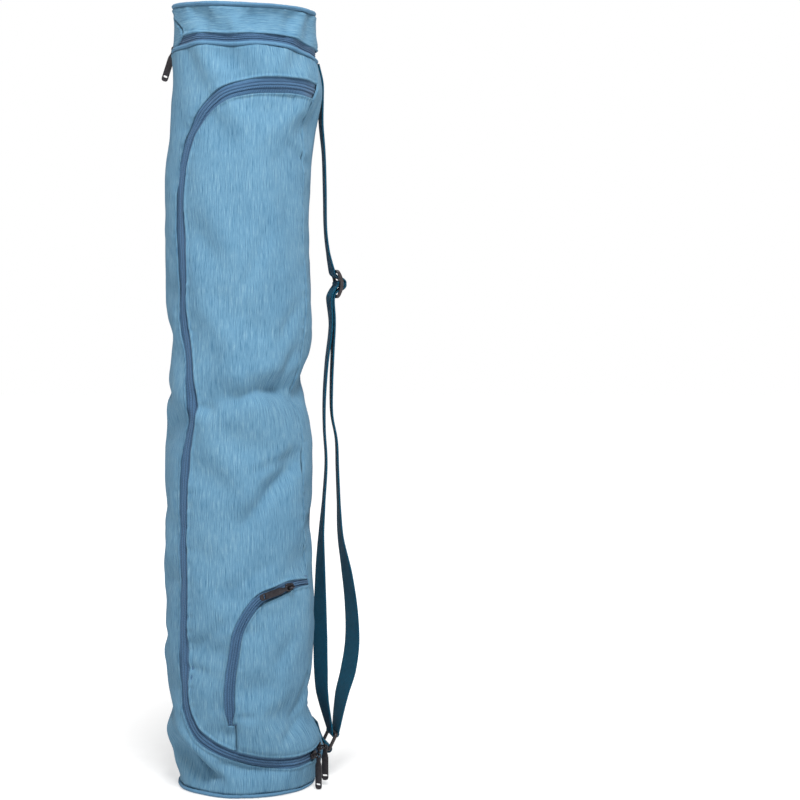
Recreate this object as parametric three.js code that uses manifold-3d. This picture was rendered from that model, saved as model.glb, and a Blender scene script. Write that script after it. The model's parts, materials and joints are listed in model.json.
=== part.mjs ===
// Yoga mat bag: a tall round cloth bag that stands on its base, with a C-shaped zipper round a front flap,
// a zipped pocket on the flap, a zipped lid and an adjustable shoulder strap. Millimetres, +Z up. The origin is
// the middle of the base's underside. The front faces -Y, and the strap hangs on the +X side.
// Angles are degrees round the bag from the front, positive towards the strap.
import * as THREE from "three";
import { mergeVertices } from "three/addons/utils/BufferGeometryUtils.js";
import Module from "manifold-3d";

const wasm = await Module();
wasm.setup();

// The bag as a whole
const BODY_HEIGHT = 670; // floor to the seam under the lid
const LID_HEIGHT = 41; // that seam to the one round the lid's top
const BODY_RADIUS = 65; // the size that the section and fold tables are shares of
const SEAM_FRONT_RISE = 3; // how far the seam under the lid is higher at the front than at the side
const SEAM_SIDE_DROP = 4; // how far it is lower at the strap
const LID_FRONT_RISE = -2; // the same for the lid's top
const LID_SIDE_DROP = 2.5;
const CLEARANCE = 0.3; // between pieces that are sewn or lie on each other

// Cloth
const WALL = 2; // body cloth with its lining
const BASE_THICKNESS = 2.4;
const LID_TOP_THICKNESS = 2;
const PIPING_RADIUS = 1.8;
const PIPING_OUT = -0.4; // middle of the cord to the wall's outside
const POCKET_WALL = 1.6;
const POCKET_PUFF = 2.6; // how far the empty pocket stands off the flap

// Zippers
const TAPE_THICKNESS = 1.5;
const MAIN_TAPE_WIDTH = 13;
const POCKET_TAPE_WIDTH = 10;
const LID_TAPE_WIDTH = 6.5;
const LID_OPENING_START = -55; // where the lid's zipper starts, beside its cloth hinge
const LID_OPENING_END = 265;

// Zipper sliders and pulls
const SLIDER_LENGTH = 9;
const SLIDER_WIDTH = 7.4;
const SLIDER_HEIGHT = 1.8;
const BRIDGE_RADIUS = 3.1; // middle of the half-round wire
const BRIDGE_WIRE = 0.7; // radius of that wire
const BRIDGE_FOOT = 1.2; // straight part of the wire under the half round
const PULL_LENGTH = 31; // middle of the eye to the tip
const PULL_WIDTH = 6.2;
const PULL_NECK = 3.6;
const PULL_THICKNESS = 1.8;
const EYE_RADIUS = 1.6;
const EYE_RIM = 1.1;
const SLOT_WIDTH = 1.7;
const SLOT_LENGTH = 4.4;
const SLOT_FROM_TIP = 4.6;
const LID_PULL_LEAN = 20; // the piping holds this pull off the wall
const POCKET_PULL_LEAN = 7; // this pull leans towards the flap

// Strap
const STRAP_ANGLE = 104;
const STRAP_WIDTH = 25;
const STRAP_THICKNESS = 1.5;
const ADJUSTER_HEIGHT = 0.691; // share of BODY_HEIGHT
const ADJUSTER_OUT = 1.375; // share of BODY_RADIUS
const ADJUSTER_SPAN = 11.5; // middle bar to outer bar
const ADJUSTER_BOW = 3.5; // how far the middle bar stands out from the outer ones
const ADJUSTER_BAR = 1.6; // radius
const ADJUSTER_RAIL = 3;
const RING_HEIGHT = 0.064; // middle of the upper bar, share of BODY_HEIGHT
const RING_OUT = 1.28; // share of BODY_RADIUS
const RING_SPAN = 15.5; // upper bar to lower bar, middle to middle
const RING_LEAN = 26.5; // from upright
const RING_BAR = 3; // thickness both ways
const STRAP_SLACK = 1; // clearance of the webbing in a slot, each side

// Faceting
const SIDES = 28;
const STOREYS = 26;
const PIPING_SIDES = 5;
const WIRE_SIDES = 5;

// Half widths of the sagging tube. height: share of BODY_HEIGHT. left, right (strap side), front, back: shares
// of BODY_RADIUS.
const SECTIONS = [
  { height: 0.0, left: 0.945, right: 0.965, front: 0.95, back: 0.95 },
  { height: 0.02, left: 0.965, right: 1.03, front: 0.975, back: 0.98 },
  { height: 0.05, left: 1.01, right: 1.08, front: 0.99, back: 1.0 },
  { height: 0.075, left: 1.085, right: 1.02, front: 1.0, back: 1.02 },
  { height: 0.105, left: 1.09, right: 0.915, front: 1.02, back: 1.02 },
  { height: 0.16, left: 1.1, right: 0.94, front: 1.03, back: 1.0 },
  { height: 0.26, left: 1.115, right: 0.975, front: 1.02, back: 0.98 },
  { height: 0.34, left: 1.115, right: 0.95, front: 0.99, back: 1.0 },
  { height: 0.45, left: 1.105, right: 0.965, front: 0.98, back: 1.02 },
  { height: 0.5, left: 1.065, right: 0.93, front: 1.0, back: 1.02 },
  { height: 0.535, left: 1.07, right: 0.87, front: 1.02, back: 1.0 },
  { height: 0.56, left: 1.05, right: 0.865, front: 1.02, back: 0.99 },
  { height: 0.61, left: 1.01, right: 0.95, front: 1.0, back: 1.0 },
  { height: 0.66, left: 1.06, right: 0.97, front: 0.98, back: 1.02 },
  { height: 0.72, left: 1.085, right: 0.955, front: 0.98, back: 1.02 },
  { height: 0.78, left: 1.07, right: 0.935, front: 0.99, back: 1.0 },
  { height: 0.85, left: 1.06, right: 0.95, front: 1.0, back: 0.98 },
  { height: 0.9, left: 1.005, right: 1.0, front: 1.01, back: 0.98 },
  { height: 0.94, left: 0.975, right: 1.09, front: 1.0, back: 0.99 },
  { height: 0.965, left: 0.955, right: 1.105, front: 0.99, back: 0.99 },
  { height: 1.0, left: 0.97, right: 1.03, front: 0.98, back: 0.98 },
  { height: 1.015, left: 0.945, right: 1.045, front: 0.97, back: 0.97 },
  { height: 1.03, left: 0.935, right: 1.02, front: 0.965, back: 0.97 },
  { height: 1.06, left: 0.955, right: 1.015, front: 0.975, back: 0.975 },
];

// Creases of the wall. height: share of BODY_HEIGHT. lean: degrees that the crease climbs towards the strap.
// length, width, depth: half length, half width and depth as shares of BODY_RADIUS; a depth under 0 is a bulge.
const FOLDS = [
  { angle: 40, height: 0.545, lean: 3, length: 0.8, width: 0.22, depth: 0.06 },
  { angle: -24, height: 0.54, lean: -35, length: 0.2, width: 0.18, depth: 0.05 },
  { angle: 28, height: 0.415, lean: 46, length: 0.75, width: 0.22, depth: 0.035 },
  { angle: -28, height: 0.198, lean: -5, length: 0.25, width: 0.18, depth: 0.03 },
  { angle: -27, height: 0.168, lean: -12, length: 0.25, width: 0.16, depth: 0.025 },
  { angle: -48, height: 0.042, lean: -38, length: 0.5, width: 0.2, depth: 0.07 },
  { angle: 6, height: 0.042, lean: -8, length: 0.45, width: 0.18, depth: 0.035 },
  { angle: 48, height: 0.967, lean: 0, length: 0.4, width: 0.2, depth: -0.03 },
  { angle: 70, height: 0.905, lean: 20, length: 0.3, width: 0.25, depth: 0.05 },
  { angle: 150, height: 0.62, lean: 30, length: 0.7, width: 0.25, depth: 0.045 },
  { angle: 205, height: 0.46, lean: -20, length: 0.8, width: 0.25, depth: 0.05 },
  { angle: 170, height: 0.27, lean: 15, length: 0.7, width: 0.25, depth: 0.045 },
  { angle: 235, height: 0.8, lean: 25, length: 0.6, width: 0.25, depth: 0.04 },
  { angle: 200, height: 0.09, lean: 5, length: 0.7, width: 0.22, depth: 0.04 },
];

// Middle line of the main zipper, from its top end at the strap panel to its bottom end there.
const MAIN_ZIPPER = [
  { angle: 84, height: 0.951 },
  { angle: 60, height: 0.949 },
  { angle: 30, height: 0.947 },
  { angle: 8, height: 0.946 },
  { angle: -9, height: 0.938 },
  { angle: -25, height: 0.919 },
  { angle: -38, height: 0.889 },
  { angle: -45, height: 0.85 },
  { angle: -48.5, height: 0.8 },
  { angle: -46, height: 0.71 },
  { angle: -47.5, height: 0.635 },
  { angle: -41, height: 0.57 },
  { angle: -37.5, height: 0.533 },
  { angle: -42, height: 0.475 },
  { angle: -45.5, height: 0.38 },
  { angle: -45.5, height: 0.27 },
  { angle: -46.5, height: 0.17 },
  { angle: -43.5, height: 0.117 },
  { angle: -31.5, height: 0.084 },
  { angle: -12, height: 0.064 },
  { angle: 12, height: 0.051 },
  { angle: 36, height: 0.0445 },
  { angle: 58, height: 0.0455 },
  { angle: 76, height: 0.052 },
  { angle: 92, height: 0.062 },
];

// Middle line of the pocket's zipper, from the strap panel down to its bottom end.
const POCKET_ZIPPER = [
  { angle: 86, height: 0.281 },
  { angle: 66, height: 0.287 },
  { angle: 46, height: 0.286 },
  { angle: 30, height: 0.279 },
  { angle: 17, height: 0.27 },
  { angle: 7, height: 0.25 },
  { angle: 0, height: 0.224 },
  { angle: -4.5, height: 0.186 },
  { angle: -6.3, height: 0.14 },
  { angle: -6, height: 0.102 },
];

// The pocket's seam below its zipper, down to the main zipper.
const POCKET_SEAM = [
  { angle: -6, height: 0.112 },
  { angle: -4.5, height: 0.085 },
  { angle: -2, height: 0.05 },
];

// The two long seams of the panel that carries the strap.
const STRAP_PANEL = [
  { height: -0.02, front: 86, back: 130 },
  { height: 0.07, front: 86, back: 131 },
  { height: 0.11, front: 81, back: 132 },
  { height: 0.17, front: 75, back: 133 },
  { height: 0.28, front: 72, back: 134 },
  { height: 0.4, front: 62, back: 134 },
  { height: 0.5, front: 63, back: 133 },
  { height: 0.6, front: 66, back: 134 },
  { height: 0.76, front: 67, back: 134 },
  { height: 0.86, front: 66, back: 133 },
  { height: 0.92, front: 64, back: 131 },
  { height: 0.955, front: 71, back: 130 },
  { height: 0.98, front: 77, back: 129 },
  { height: 1.03, front: 78, back: 128 },
];

// The strap's route in its upright plane. height: share of BODY_HEIGHT. out: distance from the bag's axis, share
// of BODY_RADIUS. turn: degrees that the webbing turns from facing the bag.
const STRAP_TOP = [
  { height: 0.992, out: 1.06, turn: 0 },
  { height: 0.965, out: 1.12, turn: 0 },
  { height: 0.94, out: 1.125, turn: -1 },
  { height: 0.91, out: 1.13, turn: -4 },
  { height: 0.87, out: 1.165, turn: -6 },
  { height: 0.82, out: 1.18, turn: -6 },
  { height: 0.765, out: 1.19, turn: -7 },
  { height: 0.735, out: 1.225, turn: -6 },
];
const STRAP_OUTER = [
  { height: 0.64, out: 1.305, turn: -5 },
  { height: 0.6, out: 1.29, turn: -6 },
  { height: 0.55, out: 1.27, turn: -7 },
  { height: 0.51, out: 1.275, turn: -8 },
  { height: 0.475, out: 1.34, turn: -8 },
  { height: 0.435, out: 1.355, turn: -7 },
  { height: 0.385, out: 1.375, turn: -6 },
  { height: 0.34, out: 1.4, turn: -1 },
  { height: 0.29, out: 1.49, turn: 10 },
  { height: 0.24, out: 1.555, turn: 15 },
  { height: 0.19, out: 1.57, turn: 19 },
  { height: 0.15, out: 1.51, turn: 21 },
  { height: 0.115, out: 1.41, turn: 15 },
];
const STRAP_INNER = [
  { height: 0.118, out: 1.125, turn: 15 },
  { height: 0.155, out: 1.105, turn: 19 },
  { height: 0.2, out: 1.1, turn: 19 },
  { height: 0.25, out: 1.1, turn: 14 },
  { height: 0.3, out: 1.105, turn: 7 },
  { height: 0.345, out: 1.12, turn: -2 },
  { height: 0.39, out: 1.155, turn: -7 },
  { height: 0.445, out: 1.19, turn: -8 },
  { height: 0.49, out: 1.165, turn: -8 },
  { height: 0.53, out: 1.165, turn: -7 },
  { height: 0.58, out: 1.2, turn: -6 },
  { height: 0.635, out: 1.265, turn: -5 },
];

const MAIN_SLIDERS = { lower: 0.962, upper: 0.98 }; // shares of the zipper's length
const POCKET_SLIDER = 0.25;
const LID_SLIDER_ANGLE = 251;

const radians = THREE.MathUtils.degToRad;
const STEP = 360 / SIDES;

// A table's column at a height, on a smooth curve through its rows.
function along(rows, column, height) {
  const last = rows.length - 1;
  const at = THREE.MathUtils.clamp(height, rows[0].height, rows[last].height);
  let i = 0;
  while (i < last - 1 && rows[i + 1].height <= at) i++;
  const slope = (k) => {
    const a = rows[Math.max(k - 1, 0)];
    const b = rows[Math.min(k + 1, last)];
    return (b[column] - a[column]) / (b.height - a.height);
  };
  const span = rows[i + 1].height - rows[i].height;
  const t = (at - rows[i].height) / span;
  const rise = rows[i + 1][column] - rows[i][column];
  const start = slope(i) * span;
  const end = slope(i + 1) * span;
  return rows[i][column] + t * (start + t * (3 * rise - 2 * start - end + t * (start + end - 2 * rise)));
}

// How far the creases push the wall inwards.
function dent(angle, z) {
  return FOLDS.reduce((sum, fold) => {
    const round = THREE.MathUtils.euclideanModulo(angle - fold.angle + 180, 360) - 180;
    const s = radians(round) * BODY_RADIUS;
    const h = z - fold.height * BODY_HEIGHT;
    const lean = radians(fold.lean);
    const lengthways = (s * Math.cos(lean) + h * Math.sin(lean)) / (fold.length * BODY_RADIUS);
    const across = (h * Math.cos(lean) - s * Math.sin(lean)) / (fold.width * BODY_RADIUS);
    return sum + fold.depth * BODY_RADIUS * Math.exp(-(across ** 2) - lengthways ** 4);
  }, 0);
}

// A point of the bag's wall, or lifted off it.
function wall(angle, z, lift = 0) {
  const turn = radians(angle);
  const side = Math.sin(turn) < 0 ? "left" : "right";
  const face = Math.cos(turn) < 0 ? "back" : "front";
  const out = lift - dent(angle, z);
  const share = z / BODY_HEIGHT;
  const x = along(SECTIONS, side, share) * BODY_RADIUS + out;
  const y = along(SECTIONS, face, share) * BODY_RADIUS + out;
  return new THREE.Vector3(x * Math.sin(turn), -y * Math.cos(turn), z);
}

const seamHeight = (angle) =>
  BODY_HEIGHT + SEAM_FRONT_RISE * Math.cos(radians(angle)) - SEAM_SIDE_DROP * Math.sin(radians(angle));
const lidHeight = (angle) =>
  BODY_HEIGHT + LID_HEIGHT + LID_FRONT_RISE * Math.cos(radians(angle)) - LID_SIDE_DROP * Math.sin(radians(angle));

// Joins rows of points, all loops of one length, into a closed surface. An open row of loops gets two ends.
function sweep(loops, closed) {
  const count = loops[0].length;
  const faces = [];
  const steps = closed ? loops.length : loops.length - 1;
  for (let i = 0; i < steps; i++) {
    const next = (i + 1) % loops.length;
    for (let j = 0; j < count; j++) {
      const k = (j + 1) % count;
      const [a, b, c, d] = [i * count + j, i * count + k, next * count + k, next * count + j];
      faces.push(a, b, c, a, c, d);
    }
  }
  if (!closed) {
    const outline = flatten(loops[0]);
    const cap = THREE.ShapeUtils.triangulateShape(outline, []);
    const turned = THREE.ShapeUtils.area(outline) < 0;
    const end = (loops.length - 1) * count;
    for (const [a, b, c] of cap) {
      const [p, q] = turned ? [c, b] : [b, c];
      faces.push(a, q, p, end + a, end + p, end + q);
    }
  }
  const geometry = new THREE.BufferGeometry().setFromPoints(loops.flat()).setIndex(faces);
  return volume(geometry) < 0 ? reversed(geometry) : geometry;
}

// A loop of points as it looks square on.
function flatten(loop) {
  const normal = new THREE.Vector3();
  loop.forEach((p, i) => normal.add(new THREE.Vector3().crossVectors(p, loop[(i + 1) % loop.length])));
  const turn = new THREE.Quaternion().setFromUnitVectors(normal.normalize(), new THREE.Vector3(0, 0, 1));
  return loop.map((p) => {
    const q = p.clone().applyQuaternion(turn);
    return new THREE.Vector2(q.x, q.y);
  });
}

function volume(geometry) {
  const p = geometry.attributes.position;
  const index = geometry.index.array;
  const [a, b, c] = [new THREE.Vector3(), new THREE.Vector3(), new THREE.Vector3()];
  let sum = 0;
  for (let i = 0; i < index.length; i += 3) {
    a.fromBufferAttribute(p, index[i]);
    b.fromBufferAttribute(p, index[i + 1]);
    c.fromBufferAttribute(p, index[i + 2]);
    sum += a.dot(b.cross(c)) / 6;
  }
  return sum;
}

function reversed(geometry) {
  return geometry.setIndex([...geometry.index.array].reverse());
}

// A geometry as a solid that can be cut and joined, and back.
function solid(geometry) {
  const bare = geometry.clone();
  bare.deleteAttribute("normal");
  bare.deleteAttribute("uv");
  const merged = mergeVertices(bare);
  const mesh = new wasm.Mesh({
    numProp: 3,
    vertProperties: merged.attributes.position.array,
    triVerts: new Uint32Array(merged.index.array),
  });
  return new wasm.Manifold(mesh);
}

function geometryOf(made) {
  const mesh = made.getMesh();
  return new THREE.BufferGeometry()
    .setAttribute("position", new THREE.BufferAttribute(mesh.vertProperties, 3))
    .setIndex(new THREE.BufferAttribute(mesh.triVerts, 1));
}

// The one piece of a cut solid that holds a point of the wall.
function pieceAt(made, angle, z, lift) {
  const probe = new THREE.BoxGeometry(CLEARANCE, CLEARANCE, CLEARANCE);
  const { x, y } = wall(angle, z, lift);
  const touch = solid(probe.translate(x, y, z));
  return made.decompose().find((piece) => piece.intersect(touch).volume() > 0);
}

const angles = (start, end) => {
  const count = Math.ceil((end - start) / STEP);
  return Array.from({ length: count + 1 }, (_, i) => start + ((end - start) * i) / count);
};
const allRound = Array.from({ length: SIDES }, (_, i) => i * STEP);

// A cloth wall between two heights, from one angle to another or all round. The functions give a height for an
// angle, and a lift for an angle and height.
function cloth(round, bottom, top, rows, inner, outer) {
  const loops = round.map((angle) => {
    const heights = Array.from({ length: rows + 1 }, (_, j) =>
      THREE.MathUtils.lerp(bottom(angle), top(angle), j / rows),
    );
    const outside = heights.map((z) => wall(angle, z, outer(angle, z)));
    const inside = heights.map((z) => wall(angle, z, inner(angle, z)));
    return [...outside, ...inside.reverse()];
  });
  return sweep(loops, round === allRound);
}

// A smooth line through a table of angles and heights, laid out flat: x runs round the bag, y is the height.
function flatCurve(rows) {
  const points = rows.map((r) => new THREE.Vector3(radians(r.angle) * BODY_RADIUS, r.height * BODY_HEIGHT, 0));
  return new THREE.CatmullRomCurve3(points, false, "centripetal");
}

// A band that follows a line on the wall, through a few lifts off it from the lowest to the highest.
function ribbon(curve, steps, width, lifts) {
  const loops = Array.from({ length: steps + 1 }, (_, i) => {
    const p = curve.getPointAt(i / steps);
    const t = curve.getTangentAt(i / steps);
    const spot = (across, lift) =>
      wall(
        THREE.MathUtils.radToDeg((p.x - t.y * across) / BODY_RADIUS),
        p.y + t.x * across,
        lift,
      );
    const half = width / 2;
    const near = lifts.map((lift) => spot(-half, lift));
    const far = lifts.map((lift) => spot(half, lift));
    return [...near, spot(0, lifts.at(-1)), ...far.reverse(), spot(0, lifts[0])];
  });
  return sweep(loops, false);
}

// A round cord sewn into the wall along a height, and the room that it takes on each side.
const cordRoom = PIPING_RADIUS + CLEARANCE;
function piping(height) {
  const loops = allRound.map((angle) =>
    Array.from({ length: PIPING_SIDES }, (_, k) => {
      const turn = (2 * Math.PI * k) / PIPING_SIDES;
      const base = wall(angle, height(angle), PIPING_OUT + PIPING_RADIUS * Math.cos(turn));
      return base.setZ(height(angle) + PIPING_RADIUS * Math.sin(turn));
    }),
  );
  return sweep(loops, true);
}

// A flat round panel across the tube, its underside at the given height.
function panel(height, thickness) {
  const rim = allRound.map((angle) => wall(angle, height(angle), PIPING_OUT - cordRoom));
  const shape = new THREE.Shape(rim.map((p) => new THREE.Vector2(p.x, p.y)));
  const made = new THREE.ExtrudeGeometry(shape, { depth: thickness, bevelEnabled: false });
  const p = made.attributes.position;
  for (let i = 0; i < p.count; i++) {
    const angle = THREE.MathUtils.radToDeg(Math.atan2(p.getX(i), -p.getY(i)));
    const share = Math.hypot(p.getX(i), p.getY(i)) / BODY_RADIUS;
    const middle = (height(0) + height(180)) / 2;
    p.setZ(i, p.getZ(i) + middle + (height(angle) - middle) * share);
  }
  return made;
}

const bag = new THREE.Group();
const CLOTH = new THREE.MeshStandardMaterial({ color: 0x6f9cbe, roughness: 0.9, metalness: 0 });
const TAPE = new THREE.MeshStandardMaterial({ color: 0x4d6a92, roughness: 0.8, metalness: 0 });
const WEBBING = new THREE.MeshStandardMaterial({ color: 0x0d4258, roughness: 0.85, metalness: 0 });
const BLACK_METAL = new THREE.MeshStandardMaterial({ color: 0x1d1b1e, roughness: 0.35, metalness: 0.6 });
const BLACK_PLASTIC = new THREE.MeshStandardMaterial({ color: 0x2a2427, roughness: 0.45, metalness: 0 });

function add(name, geometry, material, parent = bag) {
  const mesh = new THREE.Mesh(geometry, material);
  mesh.name = name;
  parent.add(mesh);
  return mesh;
}

// Body: one tube of cloth, cut into the strap panel, the flap and the wrap round the rest
const deep = -WALL;
const BASE_CORD = PIPING_RADIUS + CLEARANCE; // height of the cord round the base
const wallBottom = () => BASE_CORD + cordRoom;
const wallTop = (angle) => seamHeight(angle) - cordRoom;
const flush = () => 0;
const inside = () => deep;
const tube = solid(cloth(allRound, wallBottom, wallTop, STOREYS, inside, flush));

// The strap panel between its two seams, or the wider room that it takes out of the tube. The lifts run from the
// panel's inside to its outside.
function strapPanel(margin, first, last, lifts) {
  const grow = THREE.MathUtils.radToDeg(margin / BODY_RADIUS);
  const loops = [];
  for (let i = first; i <= last; i++) {
    const share = i / STOREYS;
    const front = along(STRAP_PANEL, "front", share) - grow;
    const back = along(STRAP_PANEL, "back", share) + grow;
    const at = (angle, lift) =>
      wall(angle, THREE.MathUtils.lerp(wallBottom(), wallTop(angle), share), lift);
    const round = Array.from({ length: PANEL_COLUMNS + 1 }, (_, k) =>
      THREE.MathUtils.lerp(front, back, k / PANEL_COLUMNS),
    );
    const between = lifts.slice(1, -1);
    loops.push([
      ...round.map((angle) => at(angle, lifts.at(-1))),
      ...between.toReversed().map((lift) => at(back, lift)),
      ...round.toReversed().map((angle) => at(angle, lifts[0])),
      ...between.map((lift) => at(front, lift)),
    ]);
  }
  return sweep(loops, false);
}

const PANEL_COLUMNS = 5;
const SLOT_LIFTS = [-3 * WALL, -1.2 * WALL, 0.2 * WALL, 3 * WALL];
const strapPanelSlot = solid(strapPanel(CLEARANCE, -1, STOREYS + 1, SLOT_LIFTS));
const mainCurve = flatCurve(MAIN_ZIPPER);
const pocketCurve = flatCurve(POCKET_ZIPPER);
const MAIN_STEPS = 60;
const POCKET_STEPS = 20;
const slotOf = (curve, steps, width) => solid(ribbon(curve, steps, width + 2 * CLEARANCE, SLOT_LIFTS));
const mainSlot = slotOf(mainCurve, MAIN_STEPS, MAIN_TAPE_WIDTH);
const pocketSlot = slotOf(pocketCurve, POCKET_STEPS, POCKET_TAPE_WIDTH);
const pocketSeam = slotOf(flatCurve(POCKET_SEAM), 4, 0);

const rest = tube.subtract(strapPanelSlot).subtract(mainSlot);
const midHeight = BODY_HEIGHT / 2;
add("strap_panel", strapPanel(0, 0, STOREYS, [deep, 0]), CLOTH);
add("body_wrap", geometryOf(pieceAt(rest, 180, midHeight, deep / 2)), CLOTH);
add("front_flap", geometryOf(pieceAt(rest, 0, midHeight, deep / 2)), CLOTH);

const mainTape = solid(ribbon(mainCurve, MAIN_STEPS, MAIN_TAPE_WIDTH, [-TAPE_THICKNESS, 0]));
add("main_zipper", geometryOf(mainTape.subtract(strapPanelSlot)), TAPE);

// Pocket: a second layer of cloth over the flap's lower corner, with its zipper
const pocketLow = () => 0.02 * BODY_HEIGHT;
const pocketHigh = () => 0.32 * BODY_HEIGHT;
const POCKET_MIDDLE = { angle: 36, height: 0.165, round: 46, tall: 0.13 };
const POCKET_ROWS = 9;
function puff(angle, z) {
  const s = (angle - POCKET_MIDDLE.angle) / POCKET_MIDDLE.round;
  const h = (z / BODY_HEIGHT - POCKET_MIDDLE.height) / POCKET_MIDDLE.tall;
  return CLEARANCE + POCKET_PUFF * Math.exp(-(s ** 4) - h ** 4);
}
const pocketTube = solid(
  cloth(allRound, pocketLow, pocketHigh, POCKET_ROWS, puff, (angle, z) => puff(angle, z) + POCKET_WALL),
);
const pocketCut = pocketTube.subtract(strapPanelSlot).subtract(mainSlot).subtract(pocketSlot).subtract(pocketSeam);
const pocketProbe = POCKET_MIDDLE.height * BODY_HEIGHT;
const pocketLift = puff(POCKET_MIDDLE.angle, pocketProbe) + POCKET_WALL / 2;
add("pocket_panel", geometryOf(pieceAt(pocketCut, POCKET_MIDDLE.angle, pocketProbe, pocketLift)), CLOTH);

const POCKET_TAPE_LIFT = CLEARANCE;
const pocketTapeTop = POCKET_TAPE_LIFT + TAPE_THICKNESS;
const pocketLifts = [POCKET_TAPE_LIFT, pocketTapeTop];
const pocketTape = solid(ribbon(pocketCurve, POCKET_STEPS, POCKET_TAPE_WIDTH, pocketLifts));
add("pocket_zipper", geometryOf(pocketTape.subtract(strapPanelSlot)), TAPE);

// Base and lid
const flatOnFloor = () => 0;
add("base_panel", panel(flatOnFloor, BASE_THICKNESS), CLOTH);
add("base_piping", piping(() => BASE_CORD), CLOTH);
add("seam_piping", piping(seamHeight), CLOTH);

const LID_ROWS = 3;
const tapeTop = (angle) => seamHeight(angle) + cordRoom + LID_TAPE_WIDTH;
const bandTop = (angle) => lidHeight(angle) - cordRoom;
const opening = angles(LID_OPENING_START, LID_OPENING_END);
const hingeGap = THREE.MathUtils.radToDeg(CLEARANCE / BODY_RADIUS);
const hinge = angles(LID_OPENING_END - 360 + hingeGap, LID_OPENING_START - hingeGap);
const aboveSeam = (angle) => seamHeight(angle) + cordRoom;
add("lid_zipper", cloth(opening, aboveSeam, tapeTop, 1, () => -TAPE_THICKNESS, flush), TAPE);
add("lid_band", cloth(opening, (a) => tapeTop(a) + CLEARANCE, bandTop, LID_ROWS, inside, flush), CLOTH);
add("lid_hinge", cloth(hinge, aboveSeam, bandTop, LID_ROWS, inside, flush), CLOTH);
add("lid_top", panel((angle) => lidHeight(angle) - LID_TOP_THICKNESS / 2, LID_TOP_THICKNESS), CLOTH);
add("rim_piping", piping(lidHeight), CLOTH);

// A slider lies on its tape: x runs along the zipper, z stands off the wall. The eye of its pull rides on the wire.
function sliderGeometry() {
  const plan = new THREE.Shape();
  const [l, w] = [SLIDER_LENGTH / 2, SLIDER_WIDTH / 2];
  plan.moveTo(-l, -w * 0.6);
  plan.lineTo(-l * 0.5, -w);
  plan.lineTo(l * 0.6, -w);
  plan.lineTo(l, -w * 0.7);
  plan.lineTo(l, w * 0.7);
  plan.lineTo(l * 0.6, w);
  plan.lineTo(-l * 0.5, w);
  plan.lineTo(-l, w * 0.6);
  const body = new THREE.ExtrudeGeometry(plan, { depth: SLIDER_HEIGHT, bevelEnabled: false });
  const sunk = SLIDER_HEIGHT / 2;
  const turns = 6;
  const line = [new THREE.Vector3(-BRIDGE_RADIUS, 0, sunk)];
  const spring = SLIDER_HEIGHT + BRIDGE_FOOT;
  for (let i = 0; i <= turns; i++) {
    const turn = Math.PI * (1 - i / turns);
    line.push(new THREE.Vector3(BRIDGE_RADIUS * Math.cos(turn), 0, spring + BRIDGE_RADIUS * Math.sin(turn)));
  }
  line.push(new THREE.Vector3(BRIDGE_RADIUS, 0, sunk));
  const loops = line.map((p, i) => {
    const before = line[Math.max(i - 1, 0)];
    const after = line[Math.min(i + 1, line.length - 1)];
    const t = new THREE.Vector3().subVectors(after, before).normalize();
    const n = new THREE.Vector3(-t.z, 0, t.x);
    return Array.from({ length: WIRE_SIDES }, (_, k) => {
      const turn = (2 * Math.PI * k) / WIRE_SIDES;
      const side = new THREE.Vector3(0, BRIDGE_WIRE * Math.sin(turn), 0);
      return p.clone().addScaledVector(n, BRIDGE_WIRE * Math.cos(turn)).add(side);
    });
  });
  return geometryOf(solid(body).add(solid(sweep(loops, false))));
}
const WIRE_HEIGHT = SLIDER_HEIGHT + BRIDGE_FOOT + BRIDGE_RADIUS; // middle of the wire at its top

// A pull hangs from the middle of its eye along -Y, flat in the XY plane.
function pullGeometry() {
  const eye = EYE_RADIUS + EYE_RIM;
  const tip = PULL_WIDTH * 0.36;
  const shape = new THREE.Shape();
  shape.absarc(0, 0, eye, -0.25 * Math.PI, 1.25 * Math.PI, false);
  shape.lineTo(-PULL_NECK / 2, -PULL_LENGTH * 0.16);
  shape.lineTo(-PULL_WIDTH * 0.4, -PULL_LENGTH * 0.38);
  shape.lineTo(-PULL_WIDTH / 2, -PULL_LENGTH * 0.66);
  shape.absarc(0, -PULL_LENGTH + tip, tip, Math.PI, 2 * Math.PI, false);
  shape.lineTo(PULL_WIDTH / 2, -PULL_LENGTH * 0.66);
  shape.lineTo(PULL_WIDTH * 0.4, -PULL_LENGTH * 0.38);
  shape.lineTo(PULL_NECK / 2, -PULL_LENGTH * 0.16);
  const hole = new THREE.Path().absarc(0, 0, EYE_RADIUS, 0, 2 * Math.PI, true);
  const slot = new THREE.Path();
  const [r, reach] = [SLOT_WIDTH / 2, (SLOT_LENGTH - SLOT_WIDTH) / 2];
  const middle = SLOT_FROM_TIP - PULL_LENGTH;
  slot.absarc(0, middle + reach, r, 0, Math.PI, false);
  slot.absarc(0, middle - reach, r, Math.PI, 2 * Math.PI, false);
  slot.closePath();
  shape.holes.push(hole, slot);
  const made = new THREE.ExtrudeGeometry(shape, { depth: PULL_THICKNESS, bevelEnabled: false, curveSegments: 4 });
  return made.translate(0, 0, -PULL_THICKNESS / 2);
}

// Where a slider sits: its place on the wall and the way that its zipper runs there.
function onCurve(curve, share, lift) {
  const p = curve.getPointAt(share);
  const t = curve.getTangentAt(share);
  const angle = THREE.MathUtils.radToDeg(p.x / BODY_RADIUS);
  return { angle, z: p.y, lift, climb: Math.atan2(t.y, t.x) };
}

// The way out of the wall at a place, square to it.
function normalAt(angle, z) {
  const small = 1;
  const span = THREE.MathUtils.radToDeg(small / BODY_RADIUS);
  const across = wall(angle + span, z).sub(wall(angle - span, z));
  const up = wall(angle, z + small).sub(wall(angle, z - small));
  return across.cross(up).normalize();
}

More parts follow.
